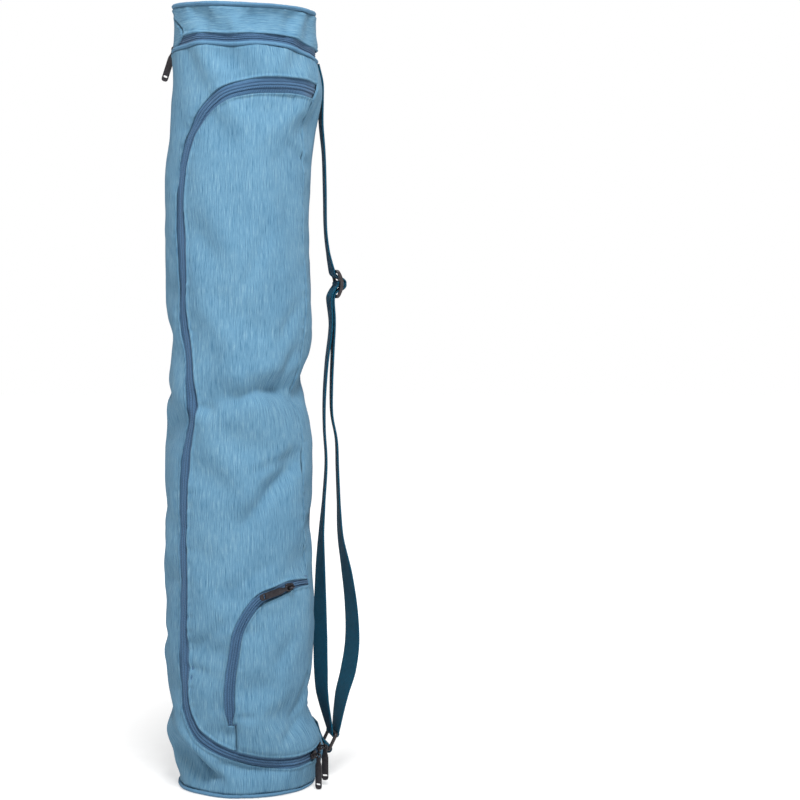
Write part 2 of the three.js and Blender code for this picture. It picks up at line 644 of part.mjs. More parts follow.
function outwards(angle) {
  return new THREE.Vector3(Math.sin(radians(angle)), -Math.cos(radians(angle)), 0);
}
function roundwards(angle) {
  return new THREE.Vector3(Math.cos(radians(angle)), Math.sin(radians(angle)), 0);
}
const UP = new THREE.Vector3(0, 0, 1);

// Turns a mesh so that its own X, Y and Z lie along three directions, and moves it to a place.
function put(mesh, x, y, z, at) {
  mesh.setRotationFromMatrix(new THREE.Matrix4().makeBasis(x, y, z));
  mesh.position.copy(at);
}

function addSlider(name, spot) {
  const out = normalAt(spot.angle, spot.z);
  const run = roundwards(spot.angle).multiplyScalar(Math.cos(spot.climb)).addScaledVector(UP, Math.sin(spot.climb));
  run.addScaledVector(out, -run.dot(out)).normalize();
  const foot = wall(spot.angle, spot.z, spot.lift + CLEARANCE);
  put(add(name, sliderGeometry(), BLACK_METAL), run, new THREE.Vector3().crossVectors(out, run), out, foot);
  return { out, run, foot, wire: foot.clone().addScaledVector(out, WIRE_HEIGHT) };
}

// A pull that hangs down from the top of its wire, leaning off the wall.
function addHangingPull(name, slider, angle, lean) {
  const swing = roundwards(angle);
  const y = UP.clone().applyAxisAngle(swing, -radians(lean));
  const x = new THREE.Vector3().crossVectors(y, swing);
  put(add(name, pullGeometry(), BLACK_METAL), x, y, swing, slider.wire);
}

for (const [name, share] of Object.entries(MAIN_SLIDERS)) {
  const spot = onCurve(mainCurve, share, 0);
  addHangingPull("main_pull_" + name, addSlider("main_slider_" + name, spot), spot.angle, 0);
}

const lidSpot = { angle: LID_SLIDER_ANGLE, lift: 0, climb: 0 };
lidSpot.z = seamHeight(LID_SLIDER_ANGLE) + cordRoom + LID_TAPE_WIDTH / 2;
addHangingPull("lid_pull", addSlider("lid_slider", lidSpot), lidSpot.angle, LID_PULL_LEAN);

// The pocket's pull lies along its zipper, its eye round the wire's foot.
const pocketSpot = onCurve(pocketCurve, POCKET_SLIDER, pocketTapeTop);
const pocketSlider = addSlider("pocket_slider", pocketSpot);
const pivot = pocketSlider.foot.clone().addScaledVector(pocketSlider.out, SLIDER_HEIGHT + BRIDGE_FOOT);
const eyeAt = pivot.clone().addScaledVector(pocketSlider.run, BRIDGE_RADIUS);
const sideways = new THREE.Vector3().crossVectors(pocketSlider.out, pocketSlider.run);
const lengthways = pocketSlider.run.clone().negate().applyAxisAngle(sideways, radians(POCKET_PULL_LEAN));
put(
  add("pocket_pull", pullGeometry(), BLACK_METAL),
  sideways,
  lengthways,
  new THREE.Vector3().crossVectors(sideways, lengthways),
  eyeAt,
);

// Strap: one length of webbing in an upright plane, wide across that plane
const strapOut = outwards(STRAP_ANGLE);
const strapAcross = roundwards(STRAP_ANGLE);
const inPlane = (out, z) => strapOut.clone().multiplyScalar(out).setZ(z);
const onWall = (z) => {
  const p = wall(STRAP_ANGLE, z);
  return Math.hypot(p.x, p.y) + CLEARANCE + STRAP_THICKNESS / 2;
};

// Webbing through a list of { out, z, turn }: a flat band whose width stays level.
function webbing(stops, width) {
  const steps = 2 * (stops.length - 1);
  const route = new THREE.CatmullRomCurve3(stops.map((s) => inPlane(s.out, s.z)), false, "centripetal");
  const bend = new THREE.CatmullRomCurve3(stops.map((s) => new THREE.Vector3(s.turn, 0, 0)), false, "catmullrom");
  const loops = Array.from({ length: steps + 1 }, (_, i) => {
    const p = route.getPoint(i / steps);
    const ahead = route.getTangent(i / steps);
    const turned = strapAcross.clone().applyAxisAngle(UP, radians(bend.getPoint(i / steps).x));
    const face = new THREE.Vector3().crossVectors(ahead, turned).normalize();
    const side = new THREE.Vector3().crossVectors(face, ahead).normalize();
    const corner = (a, b) =>
      p.clone().addScaledVector(side, (a * width) / 2).addScaledVector(face, (b * STRAP_THICKNESS) / 2);
    return [corner(-1, -1), corner(1, -1), corner(1, 1), corner(-1, 1)];
  });
  return sweep(loops, false);
}

// Stops round a bar, from one angle to another, in degrees from straight out.
function roundBar(bar, radius, from, to, count) {
  return Array.from({ length: count }, (_, i) => {
    const turn = radians(THREE.MathUtils.lerp(from, to, i / (count - 1)));
    return { out: bar.out + radius * Math.cos(turn), z: bar.z + radius * Math.sin(turn), turn: 0 };
  });
}

const adjuster = { out: ADJUSTER_OUT * BODY_RADIUS, z: ADJUSTER_HEIGHT * BODY_HEIGHT };
const outerBar = { out: adjuster.out - ADJUSTER_BOW, reach: ADJUSTER_SPAN };
const oneLayer = CLEARANCE + STRAP_THICKNESS / 2;
const nextLayer = CLEARANCE + STRAP_THICKNESS;
const pastBar = ADJUSTER_BAR + oneLayer; // middle of webbing that lies on a bar
const overLoop = pastBar + nextLayer + 0.1;
const ringBarHalf = Math.hypot(RING_BAR, RING_BAR) / 2;
const ringTop = { out: RING_OUT * BODY_RADIUS, z: RING_HEIGHT * BODY_HEIGHT };
const ringLean = radians(RING_LEAN);
const ringBottom = {
  out: ringTop.out - RING_SPAN * Math.sin(ringLean),
  z: ringTop.z - RING_SPAN * Math.cos(ringLean),
};
const strapTurn = ringBarHalf + oneLayer;

const stopsOf = (rows) =>
  rows.map((r) => {
    const z = r.height * BODY_HEIGHT;
    return { out: Math.max(r.out * BODY_RADIUS, onWall(z)), z, turn: r.turn };
  });
const stop = (out, up, turn = 0) => ({ out, z: adjuster.z + up, turn });
const throughAdjuster = [
  stop(outerBar.out - pastBar - 0.2, ADJUSTER_SPAN + 1.5),
  stop(outerBar.out - pastBar + 0.9, ADJUSTER_SPAN - 2.4),
  stop(adjuster.out - 2.4, ADJUSTER_SPAN * 0.58),
  stop(adjuster.out + 1.9, overLoop * 1.08),
  stop(adjuster.out + overLoop * 0.96, overLoop * 0.5),
  stop(adjuster.out + overLoop, 0),
  stop(adjuster.out + overLoop * 0.96, -overLoop * 0.5),
  stop(adjuster.out + 1.9, -overLoop * 1.08),
  stop(adjuster.out - 2.4, -ADJUSTER_SPAN * 0.58),
  stop(outerBar.out - pastBar + 0.9, -ADJUSTER_SPAN + 2.4),
  stop(outerBar.out - pastBar - 0.2, -ADJUSTER_SPAN - 1.5),
];
const intoAdjuster = [
  stop(outerBar.out - pastBar - nextLayer - 0.6, -ADJUSTER_SPAN - 2),
  stop(outerBar.out - pastBar - nextLayer + 0.2, -ADJUSTER_SPAN + 1.8),
  stop(adjuster.out - 5.4, -ADJUSTER_SPAN * 0.46),
];
const strapStart = seamHeight(STRAP_ANGLE) - cordRoom;
const strapStops = [
  { out: onWall(strapStart), z: strapStart, turn: 0 },
  ...stopsOf(STRAP_TOP).slice(1),
  ...throughAdjuster,
  ...stopsOf(STRAP_OUTER),
  ...roundBar(ringTop, strapTurn, 20, -200, 7),
  ...stopsOf(STRAP_INNER),
  ...intoAdjuster,
  ...roundBar(adjuster, pastBar, 200, -70, 8),
];
add("strap_webbing", webbing(strapStops, STRAP_WIDTH), WEBBING);

// The short webbing that holds the ring: sewn to the strap panel, out round the ring's lower bar and back
const tabRow = (z) => ({ out: onWall(z), z, turn: 0 });
const TAB_TOP = 26; // above the ring's lower bar
const TAB_LEAVES = 14;
const TAB_RETURNS = -7;
const TAB_BOTTOM = -15;
const tabStops = [
  tabRow(ringBottom.z + TAB_TOP),
  tabRow(ringBottom.z + TAB_LEAVES),
  ...roundBar(ringBottom, strapTurn, 100, -110, 6),
  tabRow(ringBottom.z + TAB_RETURNS),
  tabRow(ringBottom.z + TAB_BOTTOM),
];
add("ring_tab", webbing(tabStops, STRAP_WIDTH), WEBBING);

// Ring: a rounded oblong loop, wide across the strap's plane
const slotWidth = STRAP_WIDTH + 2 * STRAP_SLACK;
function roundedOblong(width, height, radius) {
  const made = new THREE.Shape();
  const [x, y] = [width / 2 - radius, height / 2 - radius];
  made.absarc(x, y, radius, 0, Math.PI / 2, false);
  made.absarc(-x, y, radius, Math.PI / 2, Math.PI, false);
  made.absarc(-x, -y, radius, Math.PI, 1.5 * Math.PI, false);
  made.absarc(x, -y, radius, 1.5 * Math.PI, 2 * Math.PI, false);
  return made;
}
const ringShape = roundedOblong(slotWidth + 2 * RING_BAR, RING_SPAN + RING_BAR, RING_BAR);
ringShape.holes.push(roundedOblong(slotWidth, RING_SPAN - RING_BAR, RING_BAR / 3));
const ringGeometry = new THREE.ExtrudeGeometry(ringShape, {
  depth: RING_BAR,
  bevelEnabled: false,
  curveSegments: 3,
}).translate(0, 0, -RING_BAR / 2);
const ringUp = strapOut.clone().multiplyScalar(Math.sin(ringLean)).addScaledVector(UP, Math.cos(ringLean));
const ringMiddle = inPlane((ringTop.out + ringBottom.out) / 2, (ringTop.z + ringBottom.z) / 2);
put(
  add("strap_ring", ringGeometry, BLACK_PLASTIC),
  strapAcross,
  ringUp,
  new THREE.Vector3().crossVectors(strapAcross, ringUp),
  ringMiddle,
);

// Adjuster: two bowed rails and three bars between them. In its own frame x is out, y up and z across.
function adjusterGeometry() {
  const tall = ADJUSTER_SPAN + ADJUSTER_BAR;
  const half = ADJUSTER_BAR;
  const bow = (y) => ADJUSTER_BOW * (1 - (y / ADJUSTER_SPAN) ** 2) - ADJUSTER_BOW;
  const heights = [-1, -0.75, -0.5, -0.25, 0, 0.25, 0.5, 0.75, 1].map((s) => s * tall);
  const edge = (side) => heights.map((y) => new THREE.Vector2(bow(y) + side * half, y));
  const rail = new THREE.Shape([...edge(1), ...edge(-1).reverse()]);
  const railAt = (z) =>
    solid(
      new THREE.ExtrudeGeometry(rail, { depth: ADJUSTER_RAIL, bevelEnabled: false }).translate(0, 0, z),
    );
  let made = railAt(slotWidth / 2).add(railAt(-slotWidth / 2 - ADJUSTER_RAIL));
  for (const y of [-ADJUSTER_SPAN, 0, ADJUSTER_SPAN]) {
    const bar = new THREE.CylinderGeometry(ADJUSTER_BAR, ADJUSTER_BAR, slotWidth + ADJUSTER_RAIL, 8);
    made = made.add(solid(bar.rotateX(Math.PI / 2).translate(bow(y), y, 0)));
  }
  return geometryOf(made);
}
put(
  add("strap_adjuster", adjusterGeometry(), BLACK_PLASTIC),
  strapOut,
  UP,
  new THREE.Vector3().crossVectors(strapOut, UP),
  inPlane(adjuster.out, adjuster.z),
);

export default bag;
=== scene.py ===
# %% [markdown]
# # A yoga mat bag
# The bag is a tall tube of heathered cloth with a C-shaped zipper, a pocket, a zipped lid and a shoulder
# strap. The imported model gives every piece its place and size. This script sews a detailed cloth bag over
# it. Sizes are written in millimetres, as a sewing pattern has them, and turned to metres when a mesh is
# made.

# %% Load the frame
import json
import math

import bmesh
import bpy
import numpy as np
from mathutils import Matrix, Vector, geometry, kdtree


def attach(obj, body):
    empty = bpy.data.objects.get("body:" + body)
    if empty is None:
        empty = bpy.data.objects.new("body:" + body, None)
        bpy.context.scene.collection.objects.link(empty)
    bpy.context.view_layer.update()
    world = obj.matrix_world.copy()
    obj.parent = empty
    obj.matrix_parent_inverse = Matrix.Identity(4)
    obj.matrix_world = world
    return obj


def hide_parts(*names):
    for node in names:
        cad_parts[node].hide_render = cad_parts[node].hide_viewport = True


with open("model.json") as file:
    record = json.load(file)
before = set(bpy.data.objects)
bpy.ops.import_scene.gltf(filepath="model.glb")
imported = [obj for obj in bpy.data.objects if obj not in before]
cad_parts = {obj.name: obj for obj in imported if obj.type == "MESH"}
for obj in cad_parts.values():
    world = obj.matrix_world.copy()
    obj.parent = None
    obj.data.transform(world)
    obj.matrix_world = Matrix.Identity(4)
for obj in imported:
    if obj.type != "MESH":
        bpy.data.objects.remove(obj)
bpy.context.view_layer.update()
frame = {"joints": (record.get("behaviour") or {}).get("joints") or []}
MM = 0.001

# %% [markdown]
# ## Camera and lights
# A product photograph is taken with a long lens from a little way off, so upright lines stay nearly parallel.
# The camera stands 1.8 m in front of the bag, at chest height of the bag, and looks a little down.
# Three large area lights give the soft studio light. The pale world and the floor come with the finishes.

# %% Camera
CAMERA_PLACE, LOOKS_DOWN = (0.144, -1.8, 0.468), 3.55
SENSOR_WIDTH, LENS = 36, 88.1
scene = bpy.context.scene
scene.view_settings.view_transform = "Standard"
camera = bpy.data.objects.new("camera", bpy.data.cameras.new("camera"))
camera.location = CAMERA_PLACE
camera.rotation_euler = (math.radians(90 - LOOKS_DOWN), 0, 0)
camera.data.sensor_width = SENSOR_WIDTH
camera.data.lens = LENS
scene.collection.objects.link(camera)
scene.camera = camera
print("lens, mm:", camera.data.lens)

# %% Lights
def area_light(name, place, target, size, watts):
    """A square soft light that points at a target."""
    light = bpy.data.lights.new(name, "AREA")
    light.size = size
    light.energy = watts
    lamp = bpy.data.objects.new(name, light)
    lamp.location = place
    lamp.rotation_euler = (Vector(target) - Vector(place)).to_track_quat("-Z", "Y").to_euler()
    scene.collection.objects.link(lamp)


BAG_MIDDLE, BAG_UPPER = (0, 0, 0.35), (0, 0, 0.4)
SMALL_LIGHT, LARGE_LIGHT = 0.7, 1.2
KEY_WATTS, FILL_WATTS, BACK_WATTS = 90, 4, 10
area_light("key_light", (0.35, -1.5, 2.3), BAG_MIDDLE, SMALL_LIGHT, KEY_WATTS)
area_light("fill_light", (-1.5, -1.4, 1.0), BAG_MIDDLE, LARGE_LIGHT, FILL_WATTS)
area_light("back_light", (0.6, 1.6, 1.6), BAG_UPPER, LARGE_LIGHT, BACK_WATTS)

# %% [markdown]
# ## The shape of the bag
# An empty cloth tube is never a cylinder. It sags, and its outline wanders in and out with each buckle.
# So the bag's wall is one function of angle and height, with half widths read off a short table, and a second
# table of creases that push it in. Every panel, zipper and cord is then laid on that one wall.

# %% Sizes and tables
BODY_HEIGHT, LID_HEIGHT, BODY_RADIUS = 670, 41, 65
SEAM_RISE, SEAM_DROP = 3, 4
LID_RISE, LID_DROP = -2, 2.5
CORD_RADIUS, CORD_OUT = 1.8, -0.4
GAP = 0.3


def table(columns, rows):
    """A small table as one array for each named column."""
    return dict(zip(columns.split(), np.array(rows, dtype=float).T))


SECTIONS = table("height left right front back", [
    (0.0, 0.945, 0.965, 0.95, 0.95), (0.02, 0.965, 1.03, 0.975, 0.98), (0.05, 1.01, 1.08, 0.99, 1.0),
    (0.075, 1.085, 1.02, 1.0, 1.02), (0.105, 1.09, 0.915, 1.02, 1.02), (0.16, 1.1, 0.94, 1.03, 1.0),
    (0.26, 1.115, 0.975, 1.02, 0.98), (0.34, 1.115, 0.95, 0.99, 1.0), (0.45, 1.105, 0.965, 0.98, 1.02),
    (0.5, 1.065, 0.93, 1.0, 1.02), (0.535, 1.07, 0.87, 1.02, 1.0), (0.56, 1.05, 0.865, 1.02, 0.99),
    (0.61, 1.01, 0.95, 1.0, 1.0), (0.66, 1.06, 0.97, 0.98, 1.02), (0.72, 1.085, 0.955, 0.98, 1.02),
    (0.78, 1.07, 0.935, 0.99, 1.0), (0.85, 1.06, 0.95, 1.0, 0.98), (0.9, 1.005, 1.0, 1.01, 0.98),
    (0.94, 0.975, 1.09, 1.0, 0.99), (0.965, 0.955, 1.105, 0.99, 0.99), (1.0, 0.97, 1.03, 0.98, 0.98),
    (1.015, 0.945, 1.045, 0.97, 0.97), (1.03, 0.935, 1.02, 0.965, 0.97), (1.06, 0.955, 1.015, 0.975, 0.975),
])
CREASE_COLUMNS = "angle height lean length width depth"
BUCKLES = table(CREASE_COLUMNS, [
    (40, 0.545, 3, 0.8, 0.22, 0.06), (-24, 0.54, -35, 0.2, 0.18, 0.05), (28, 0.415, 46, 0.75, 0.22, 0.035),
    (-28, 0.198, -5, 0.25, 0.18, 0.03), (-27, 0.168, -12, 0.25, 0.16, 0.025),
    (-48, 0.042, -38, 0.5, 0.2, 0.07), (6, 0.042, -8, 0.45, 0.18, 0.035), (48, 0.967, 0, 0.4, 0.2, -0.03),
    (70, 0.905, 20, 0.3, 0.25, 0.05), (150, 0.62, 30, 0.7, 0.25, 0.045), (205, 0.46, -20, 0.8, 0.25, 0.05),
    (170, 0.27, 15, 0.7, 0.25, 0.045), (235, 0.8, 25, 0.6, 0.25, 0.04), (200, 0.09, 5, 0.7, 0.22, 0.04),
])
print("rows of the section table:", len(SECTIONS["height"]))


# %% The wall
def along(rows, column, share):
    """A column of a table at a height, on a smooth curve through its rows."""
    height, value = rows["height"], rows[column]
    last = len(height) - 1
    at = np.clip(share, height[0], height[last])
    i = np.clip(np.searchsorted(height, at, side="right") - 1, 0, last - 1)
    k = np.arange(last + 1)
    before, after = np.maximum(k - 1, 0), np.minimum(k + 1, last)
    slope = (value[after] - value[before]) / (height[after] - height[before])
    span = height[i + 1] - height[i]
    t = (at - height[i]) / span
    rise = value[i + 1] - value[i]
    start, end = slope[i] * span, slope[i + 1] * span
    return value[i] + t * (start + t * (3 * rise - 2 * start - end + t * (start + end - 2 * rise)))


def creased(rows, angle, z):
    """How far a table of creases pushes the wall in."""
    total = np.zeros(np.broadcast(angle, z).shape)
    for a, height, lean, length, width, depth in zip(*(rows[c] for c in CREASE_COLUMNS.split())):
        s = np.radians((angle - a + 180) % 360 - 180) * BODY_RADIUS
        h = z - height * BODY_HEIGHT
        turn = math.radians(lean)
        lengthways = (s * math.cos(turn) + h * math.sin(turn)) / (length * BODY_RADIUS)
        across = (h * math.cos(turn) - s * math.sin(turn)) / (width * BODY_RADIUS)
        total += depth * BODY_RADIUS * np.exp(-(across ** 2) - lengthways ** 4)
    return total


def wall(angle, z, lift=0.0):
    """Points of the plain wall, lifted off it."""
    angle, z, lift = np.broadcast_arrays(np.asarray(angle, float), np.asarray(z, float), lift)
    turn = np.radians(angle)
    out = lift - creased(BUCKLES, angle, z)
    share = z / BODY_HEIGHT
    x = np.where(np.sin(turn) < 0, along(SECTIONS, "left", share), along(SECTIONS, "right", share))
    y = np.where(np.cos(turn) < 0, along(SECTIONS, "back", share), along(SECTIONS, "front", share))
    x, y = x * BODY_RADIUS + out, y * BODY_RADIUS + out
    return np.stack([x * np.sin(turn), -y * np.cos(turn), z], axis=-1)


def seam_height(angle):
    return BODY_HEIGHT + SEAM_RISE * np.cos(np.radians(angle)) - SEAM_DROP * np.sin(np.radians(angle))


def rim_height(angle):
    top = BODY_HEIGHT + LID_HEIGHT
    return top + LID_RISE * np.cos(np.radians(angle)) - LID_DROP * np.sin(np.radians(angle))


print("front of the wall at mid height, mm:", wall(0, BODY_HEIGHT / 2).round(1))

# %% [markdown]
# ## The lines of the pattern
# The zippers and seams are curves on the cloth. Each is a short table of angles and heights, joined by a
# smooth curve on the flat pattern, where x runs round the bag and y is the height. Laying the pattern flat
# makes it easy to measure distances along and across a zipper, just as a tailor does.

# %% Zippers and seams on the flat pattern
MAIN_ZIPPER = [
    (84, 0.951), (60, 0.949), (30, 0.947), (8, 0.946), (-9, 0.938), (-25, 0.919), (-38, 0.889), (-45, 0.85),
    (-48.5, 0.8), (-46, 0.71), (-47.5, 0.635), (-41, 0.57), (-37.5, 0.533), (-42, 0.475), (-45.5, 0.38),
    (-45.5, 0.27), (-46.5, 0.17), (-43.5, 0.117), (-31.5, 0.084), (-12, 0.064), (12, 0.051), (36, 0.0445),
    (58, 0.0455), (76, 0.052), (92, 0.062),
]
POCKET_ZIPPER = [
    (86, 0.281), (66, 0.287), (46, 0.286), (30, 0.279), (17, 0.27), (7, 0.25), (0, 0.224), (-4.5, 0.186),
    (-6.3, 0.14), (-6, 0.102),
]
POCKET_SEAM = [(-2.6, 0.103), (-2.4, 0.085), (-1.5, 0.045)]
STRAP_PANEL = table("height front back", [
    (-0.02, 86, 130), (0.07, 86, 131), (0.11, 81, 132), (0.17, 75, 133), (0.28, 72, 134), (0.4, 62, 134),
    (0.5, 63, 133), (0.6, 66, 134), (0.76, 67, 134), (0.86, 66, 133), (0.92, 64, 131), (0.955, 71, 130),
    (0.98, 77, 129), (1.03, 78, 128),
])
ROUND = 2 * math.pi * BODY_RADIUS


def to_s(angle):
    return np.radians(angle) * BODY_RADIUS


def to_angle(s):
    return np.degrees(s / BODY_RADIUS)


def smooth_line(points, pieces=24):
    """A centripetal Catmull-Rom curve through points of any dimension."""
    p = np.asarray(points, float)
    p = np.vstack([2 * p[0] - p[1], p, 2 * p[-1] - p[-2]])
    line = []
    for a, b, c, d in zip(p, p[1:], p[2:], p[3:]):
        ta, tb, tc = (max(np.linalg.norm(v - u) ** 0.5, 1e-4) for u, v in ((a, b), (b, c), (c, d)))
        m1 = ((b - a) / ta - (c - a) / (ta + tb) + (c - b) / tb) * tb
        m2 = ((c - b) / tb - (d - b) / (tb + tc) + (d - c) / tc) * tb
        t = np.linspace(0, 1, pieces, endpoint=False)[:, None]
        line.append(b + t * (m1 + t * (3 * (c - b) - 2 * m1 - m2 + t * (m1 + m2 - 2 * (c - b)))))
    return np.vstack([*line, p[-2:-1]])


def even_line(line, step):
    """The same line with points at one even distance."""
    run = np.concatenate([[0], np.cumsum(np.linalg.norm(np.diff(line, axis=0), axis=1))])
    at = np.linspace(0, run[-1], max(2, round(run[-1] / step) + 1))
    return np.stack([np.interp(at, run, column) for column in line.T], axis=-1)


def flat_line(rows, step=2.0):
    rows = np.array(rows, float)
    return even_line(smooth_line(np.stack([to_s(rows[:, 0]), rows[:, 1] * BODY_HEIGHT], axis=-1)), step)


def ways(line):
    """The unit direction of a flat line at each of its points."""
    t = np.gradient(line, axis=0)
    return t / np.linalg.norm(t, axis=1, keepdims=True)


def beside(line, distance):
    """A line beside another one, to its left."""
    t = ways(line)
    return line + np.reshape(distance, (-1, 1)) * np.stack([-t[:, 1], t[:, 0]], axis=-1)


main_line = flat_line(MAIN_ZIPPER)
pocket_line = flat_line(POCKET_ZIPPER)
pocket_seam_line = flat_line(POCKET_SEAM)
print("main zipper, mm long:", round(len(main_line) * 2.0))

# %% [markdown]
# ## Letting the cloth settle
# Creases that are only drawn look drawn. Real cloth is a little longer than the bag stands tall, and the
# spare length buckles where nothing holds it. A cloth simulation does just that: the tube's rest shape gets
# some spare height, most where the photograph shows slack, and its seams and zippers are pinned. The result
# is kept as a small shift for each angle and height, so that every panel, tape and cord moves by the same
# amount.

# %% Where the cloth is slack
SLACK = table("angle height round tall spare", [
    (45, 0.54, 45, 0.06, 0.05), (-28, 0.54, 25, 0.05, 0.05), (30, 0.4, 40, 0.07, 0.035),
    (-40, 0.045, 60, 0.03, 0.06), (20, 0.04, 40, 0.03, 0.03), (30, 0.18, 35, 0.1, 0.05),
    (-25, 0.18, 25, 0.05, 0.035), (30, 0.965, 50, 0.02, 0.03), (160, 0.6, 60, 0.08, 0.05),
    (200, 0.42, 60, 0.08, 0.05), (170, 0.25, 60, 0.08, 0.05), (230, 0.8, 60, 0.08, 0.04),
    (200, 0.08, 70, 0.04, 0.05), (100, 0.11, 30, 0.05, 0.05), (30, 0.75, 30, 0.1, 0.02),
])
TUBE_COLUMNS, TUBE_ROWS = 60, 96
tube_angle = np.arange(TUBE_COLUMNS) * 360 / TUBE_COLUMNS
tube_z = np.linspace(0.5, BODY_HEIGHT + LID_HEIGHT + 3, TUBE_ROWS)


def soft_noise(x, y, seed):
    """Smooth noise between -1 and 1 that is the same on each run."""
    x, y = np.broadcast_arrays(np.asarray(x, float), np.asarray(y, float))
    i, j = np.floor(x), np.floor(y)
    u, v = x - i, y - j
    u, v = u * u * (3 - 2 * u), v * v * (3 - 2 * v)

    def corner(a, b):
        mixed = np.sin((i + a) * 12.9898 + (j + b) * 78.233 + seed * 37.719) * 43758.5453
        return 2 * np.modf(np.abs(mixed))[0] - 1

    low = corner(0, 0) * (1 - u) + corner(1, 0) * u
    high = corner(0, 1) * (1 - u) + corner(1, 1) * u
    return low * (1 - v) + high * v


def spare_length(angle, z):
    spare = np.full(np.broadcast(angle, z).shape, 0.003)
    for a, height, around, tall, amount in zip(*SLACK.values()):
        s = ((angle - a + 180) % 360 - 180) / around
        spare += amount * np.exp(-s ** 2 - ((z / BODY_HEIGHT - height) / tall) ** 2)
    return spare * np.where(z > BODY_HEIGHT, 0.6, 1)


grid_angle, grid_z = np.meshgrid(tube_angle, tube_z)
spare = spare_length(grid_angle, grid_z)
extra = np.cumsum(spare, axis=0) * (tube_z[1] - tube_z[0])
print("most spare height in one column, mm:", round(float(extra[-1].max()), 1))


# %% Distance to the sewn lines
def tree_of(line, turns=(0,)):
    """A search tree of a flat line, repeated a turn away for the pieces that wrap round."""
    line = np.vstack([line + [turn * ROUND, 0] for turn in turns])
    tree = kdtree.KDTree(len(line))
    for i, (s, z) in enumerate(line):
        tree.insert((s, z, 0), i)
    tree.balance()
    return tree


def distance_to(tree, s, z):
    return np.array([tree.find((a, b, 0))[2] for a, b in zip(np.ravel(s), np.ravel(z))]).reshape(np.shape(s))


seam_z = np.linspace(0, 1.02, 240)
front_seam = np.stack([to_s(along(STRAP_PANEL, "front", seam_z)), seam_z * BODY_HEIGHT], axis=-1)
back_seam = np.stack([to_s(along(STRAP_PANEL, "back", seam_z)), seam_z * BODY_HEIGHT], axis=-1)
zipper_tree = tree_of(np.vstack([main_line, pocket_line]), (-1, 0, 1))
panel_seam_tree = tree_of(np.vstack([front_seam, back_seam]), (-1, 0, 1))


def near_sewing(angle, z):
    """From 0 on loose cloth to 1 on a seam, cord or zipper."""
    s = to_s(angle)
    zipper = np.exp(-(distance_to(zipper_tree, s, z) / 9) ** 2) * 0.8
    panel_seam = np.exp(-(distance_to(panel_seam_tree, s, z) / 5) ** 2) * 0.6
    cords = [0 * z + 3, seam_height(angle), rim_height(angle)]
    cord = np.max([np.exp(-((z - c) / 5) ** 2) for c in cords], axis=0)
    return np.clip(np.max([zipper, panel_seam, cord], axis=0), 0, 1)


sewn = near_sewing(grid_angle, grid_z)
print("share of the tube that is held by sewing:", round(float((sewn > 0.5).mean()), 2))


# %% Cloth simulation
def settle(frames=26):
    """The tube after its spare height has buckled, as a shift of each grid point."""
    standing = wall(grid_angle, grid_z, 0.35 * soft_noise(grid_angle / 12, grid_z / 14, 3))
    longer = standing.copy()
    longer[..., 2] += extra
    c, r = TUBE_COLUMNS, TUBE_ROWS
    faces = [
        (j * c + i, j * c + (i + 1) % c, (j + 1) * c + (i + 1) % c, (j + 1) * c + i)
        for j in range(r - 1) for i in range(c)
    ]
    mesh = bpy.data.meshes.new("tube")
    mesh.from_pydata((longer.reshape(-1, 3) * MM).tolist(), [], faces)
    tube = bpy.data.objects.new("tube", mesh)
    scene.collection.objects.link(tube)
    tube.shape_key_add(name="as cut")
    key = tube.shape_key_add(name="standing")
    key.data.foreach_set("co", (standing.reshape(-1, 3) * MM).ravel())
    for frame_number, value in ((1, 0), (12, 1)):
        key.value = value
        key.keyframe_insert("value", frame=frame_number)
    pins = tube.vertex_groups.new(name="pins")
    hold = np.clip(sewn, 0, 1)
    hold[[0, -1]] = 1
    hold = np.maximum(0.3, hold)
    for index, w in enumerate(hold.ravel()):
        pins.add([index], float(w), "REPLACE")
    cloth = tube.modifiers.new("cloth", "CLOTH")
    use = cloth.settings
    use.quality = 5
    use.mass = 0.15
    use.tension_stiffness = use.compression_stiffness = 20
    use.shear_stiffness = 10
    use.bending_stiffness = 60
    use.air_damping = 4
    use.vertex_group_mass = "pins"
    use.pin_stiffness = 1
    use.effector_weights.gravity = 0
    cloth.collision_settings.use_collision = False
    cloth.point_cache.frame_end = frames
    for step in range(1, frames + 1):
        scene.frame_set(step)
    done = tube.evaluated_get(bpy.context.evaluated_depsgraph_get()).to_mesh()
    end = np.empty(c * r * 3)
    done.vertices.foreach_get("co", end)
    scene.frame_set(1)
    bpy.data.objects.remove(tube)
    return end.reshape(r, c, 3) / MM - standing


print("points of the cloth tube:", TUBE_COLUMNS * TUBE_ROWS)

# %% [markdown]
# The shift is read off the grid with smooth weights, so that the cloth's shading has no steps. It fades out
# where the sliders, the ring and the strap are fastened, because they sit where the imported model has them.

# %% Run it, and read it anywhere
FASTENED = table("angle height reach", [
    (70, 0.05, 30), (34, 0.28, 28), (251, 1.01, 20), (104, 0.05, 30), (104, 1.0, 20),
])
MOST_SHIFT = 6.5
shift = np.zeros((TUBE_ROWS, TUBE_COLUMNS, 3))
shift = settle()
size = np.linalg.norm(shift, axis=-1, keepdims=True) + 1e-9
shift *= MOST_SHIFT * np.tanh(1.2 * size / MOST_SHIFT) / size
for a, height, reach in zip(*FASTENED.values()):
    away = np.hypot(to_s((grid_angle - a + 180) % 360 - 180), grid_z - height * BODY_HEIGHT)
    shift *= (1 - np.exp(-(away / reach) ** 2))[..., None]


def spline_weights(t):
    second = (3 * t ** 3 - 6 * t ** 2 + 4) / 6
    third = (-3 * t ** 3 + 3 * t ** 2 + 3 * t + 1) / 6
    return (1 - t) ** 3 / 6, second, third, t ** 3 / 6


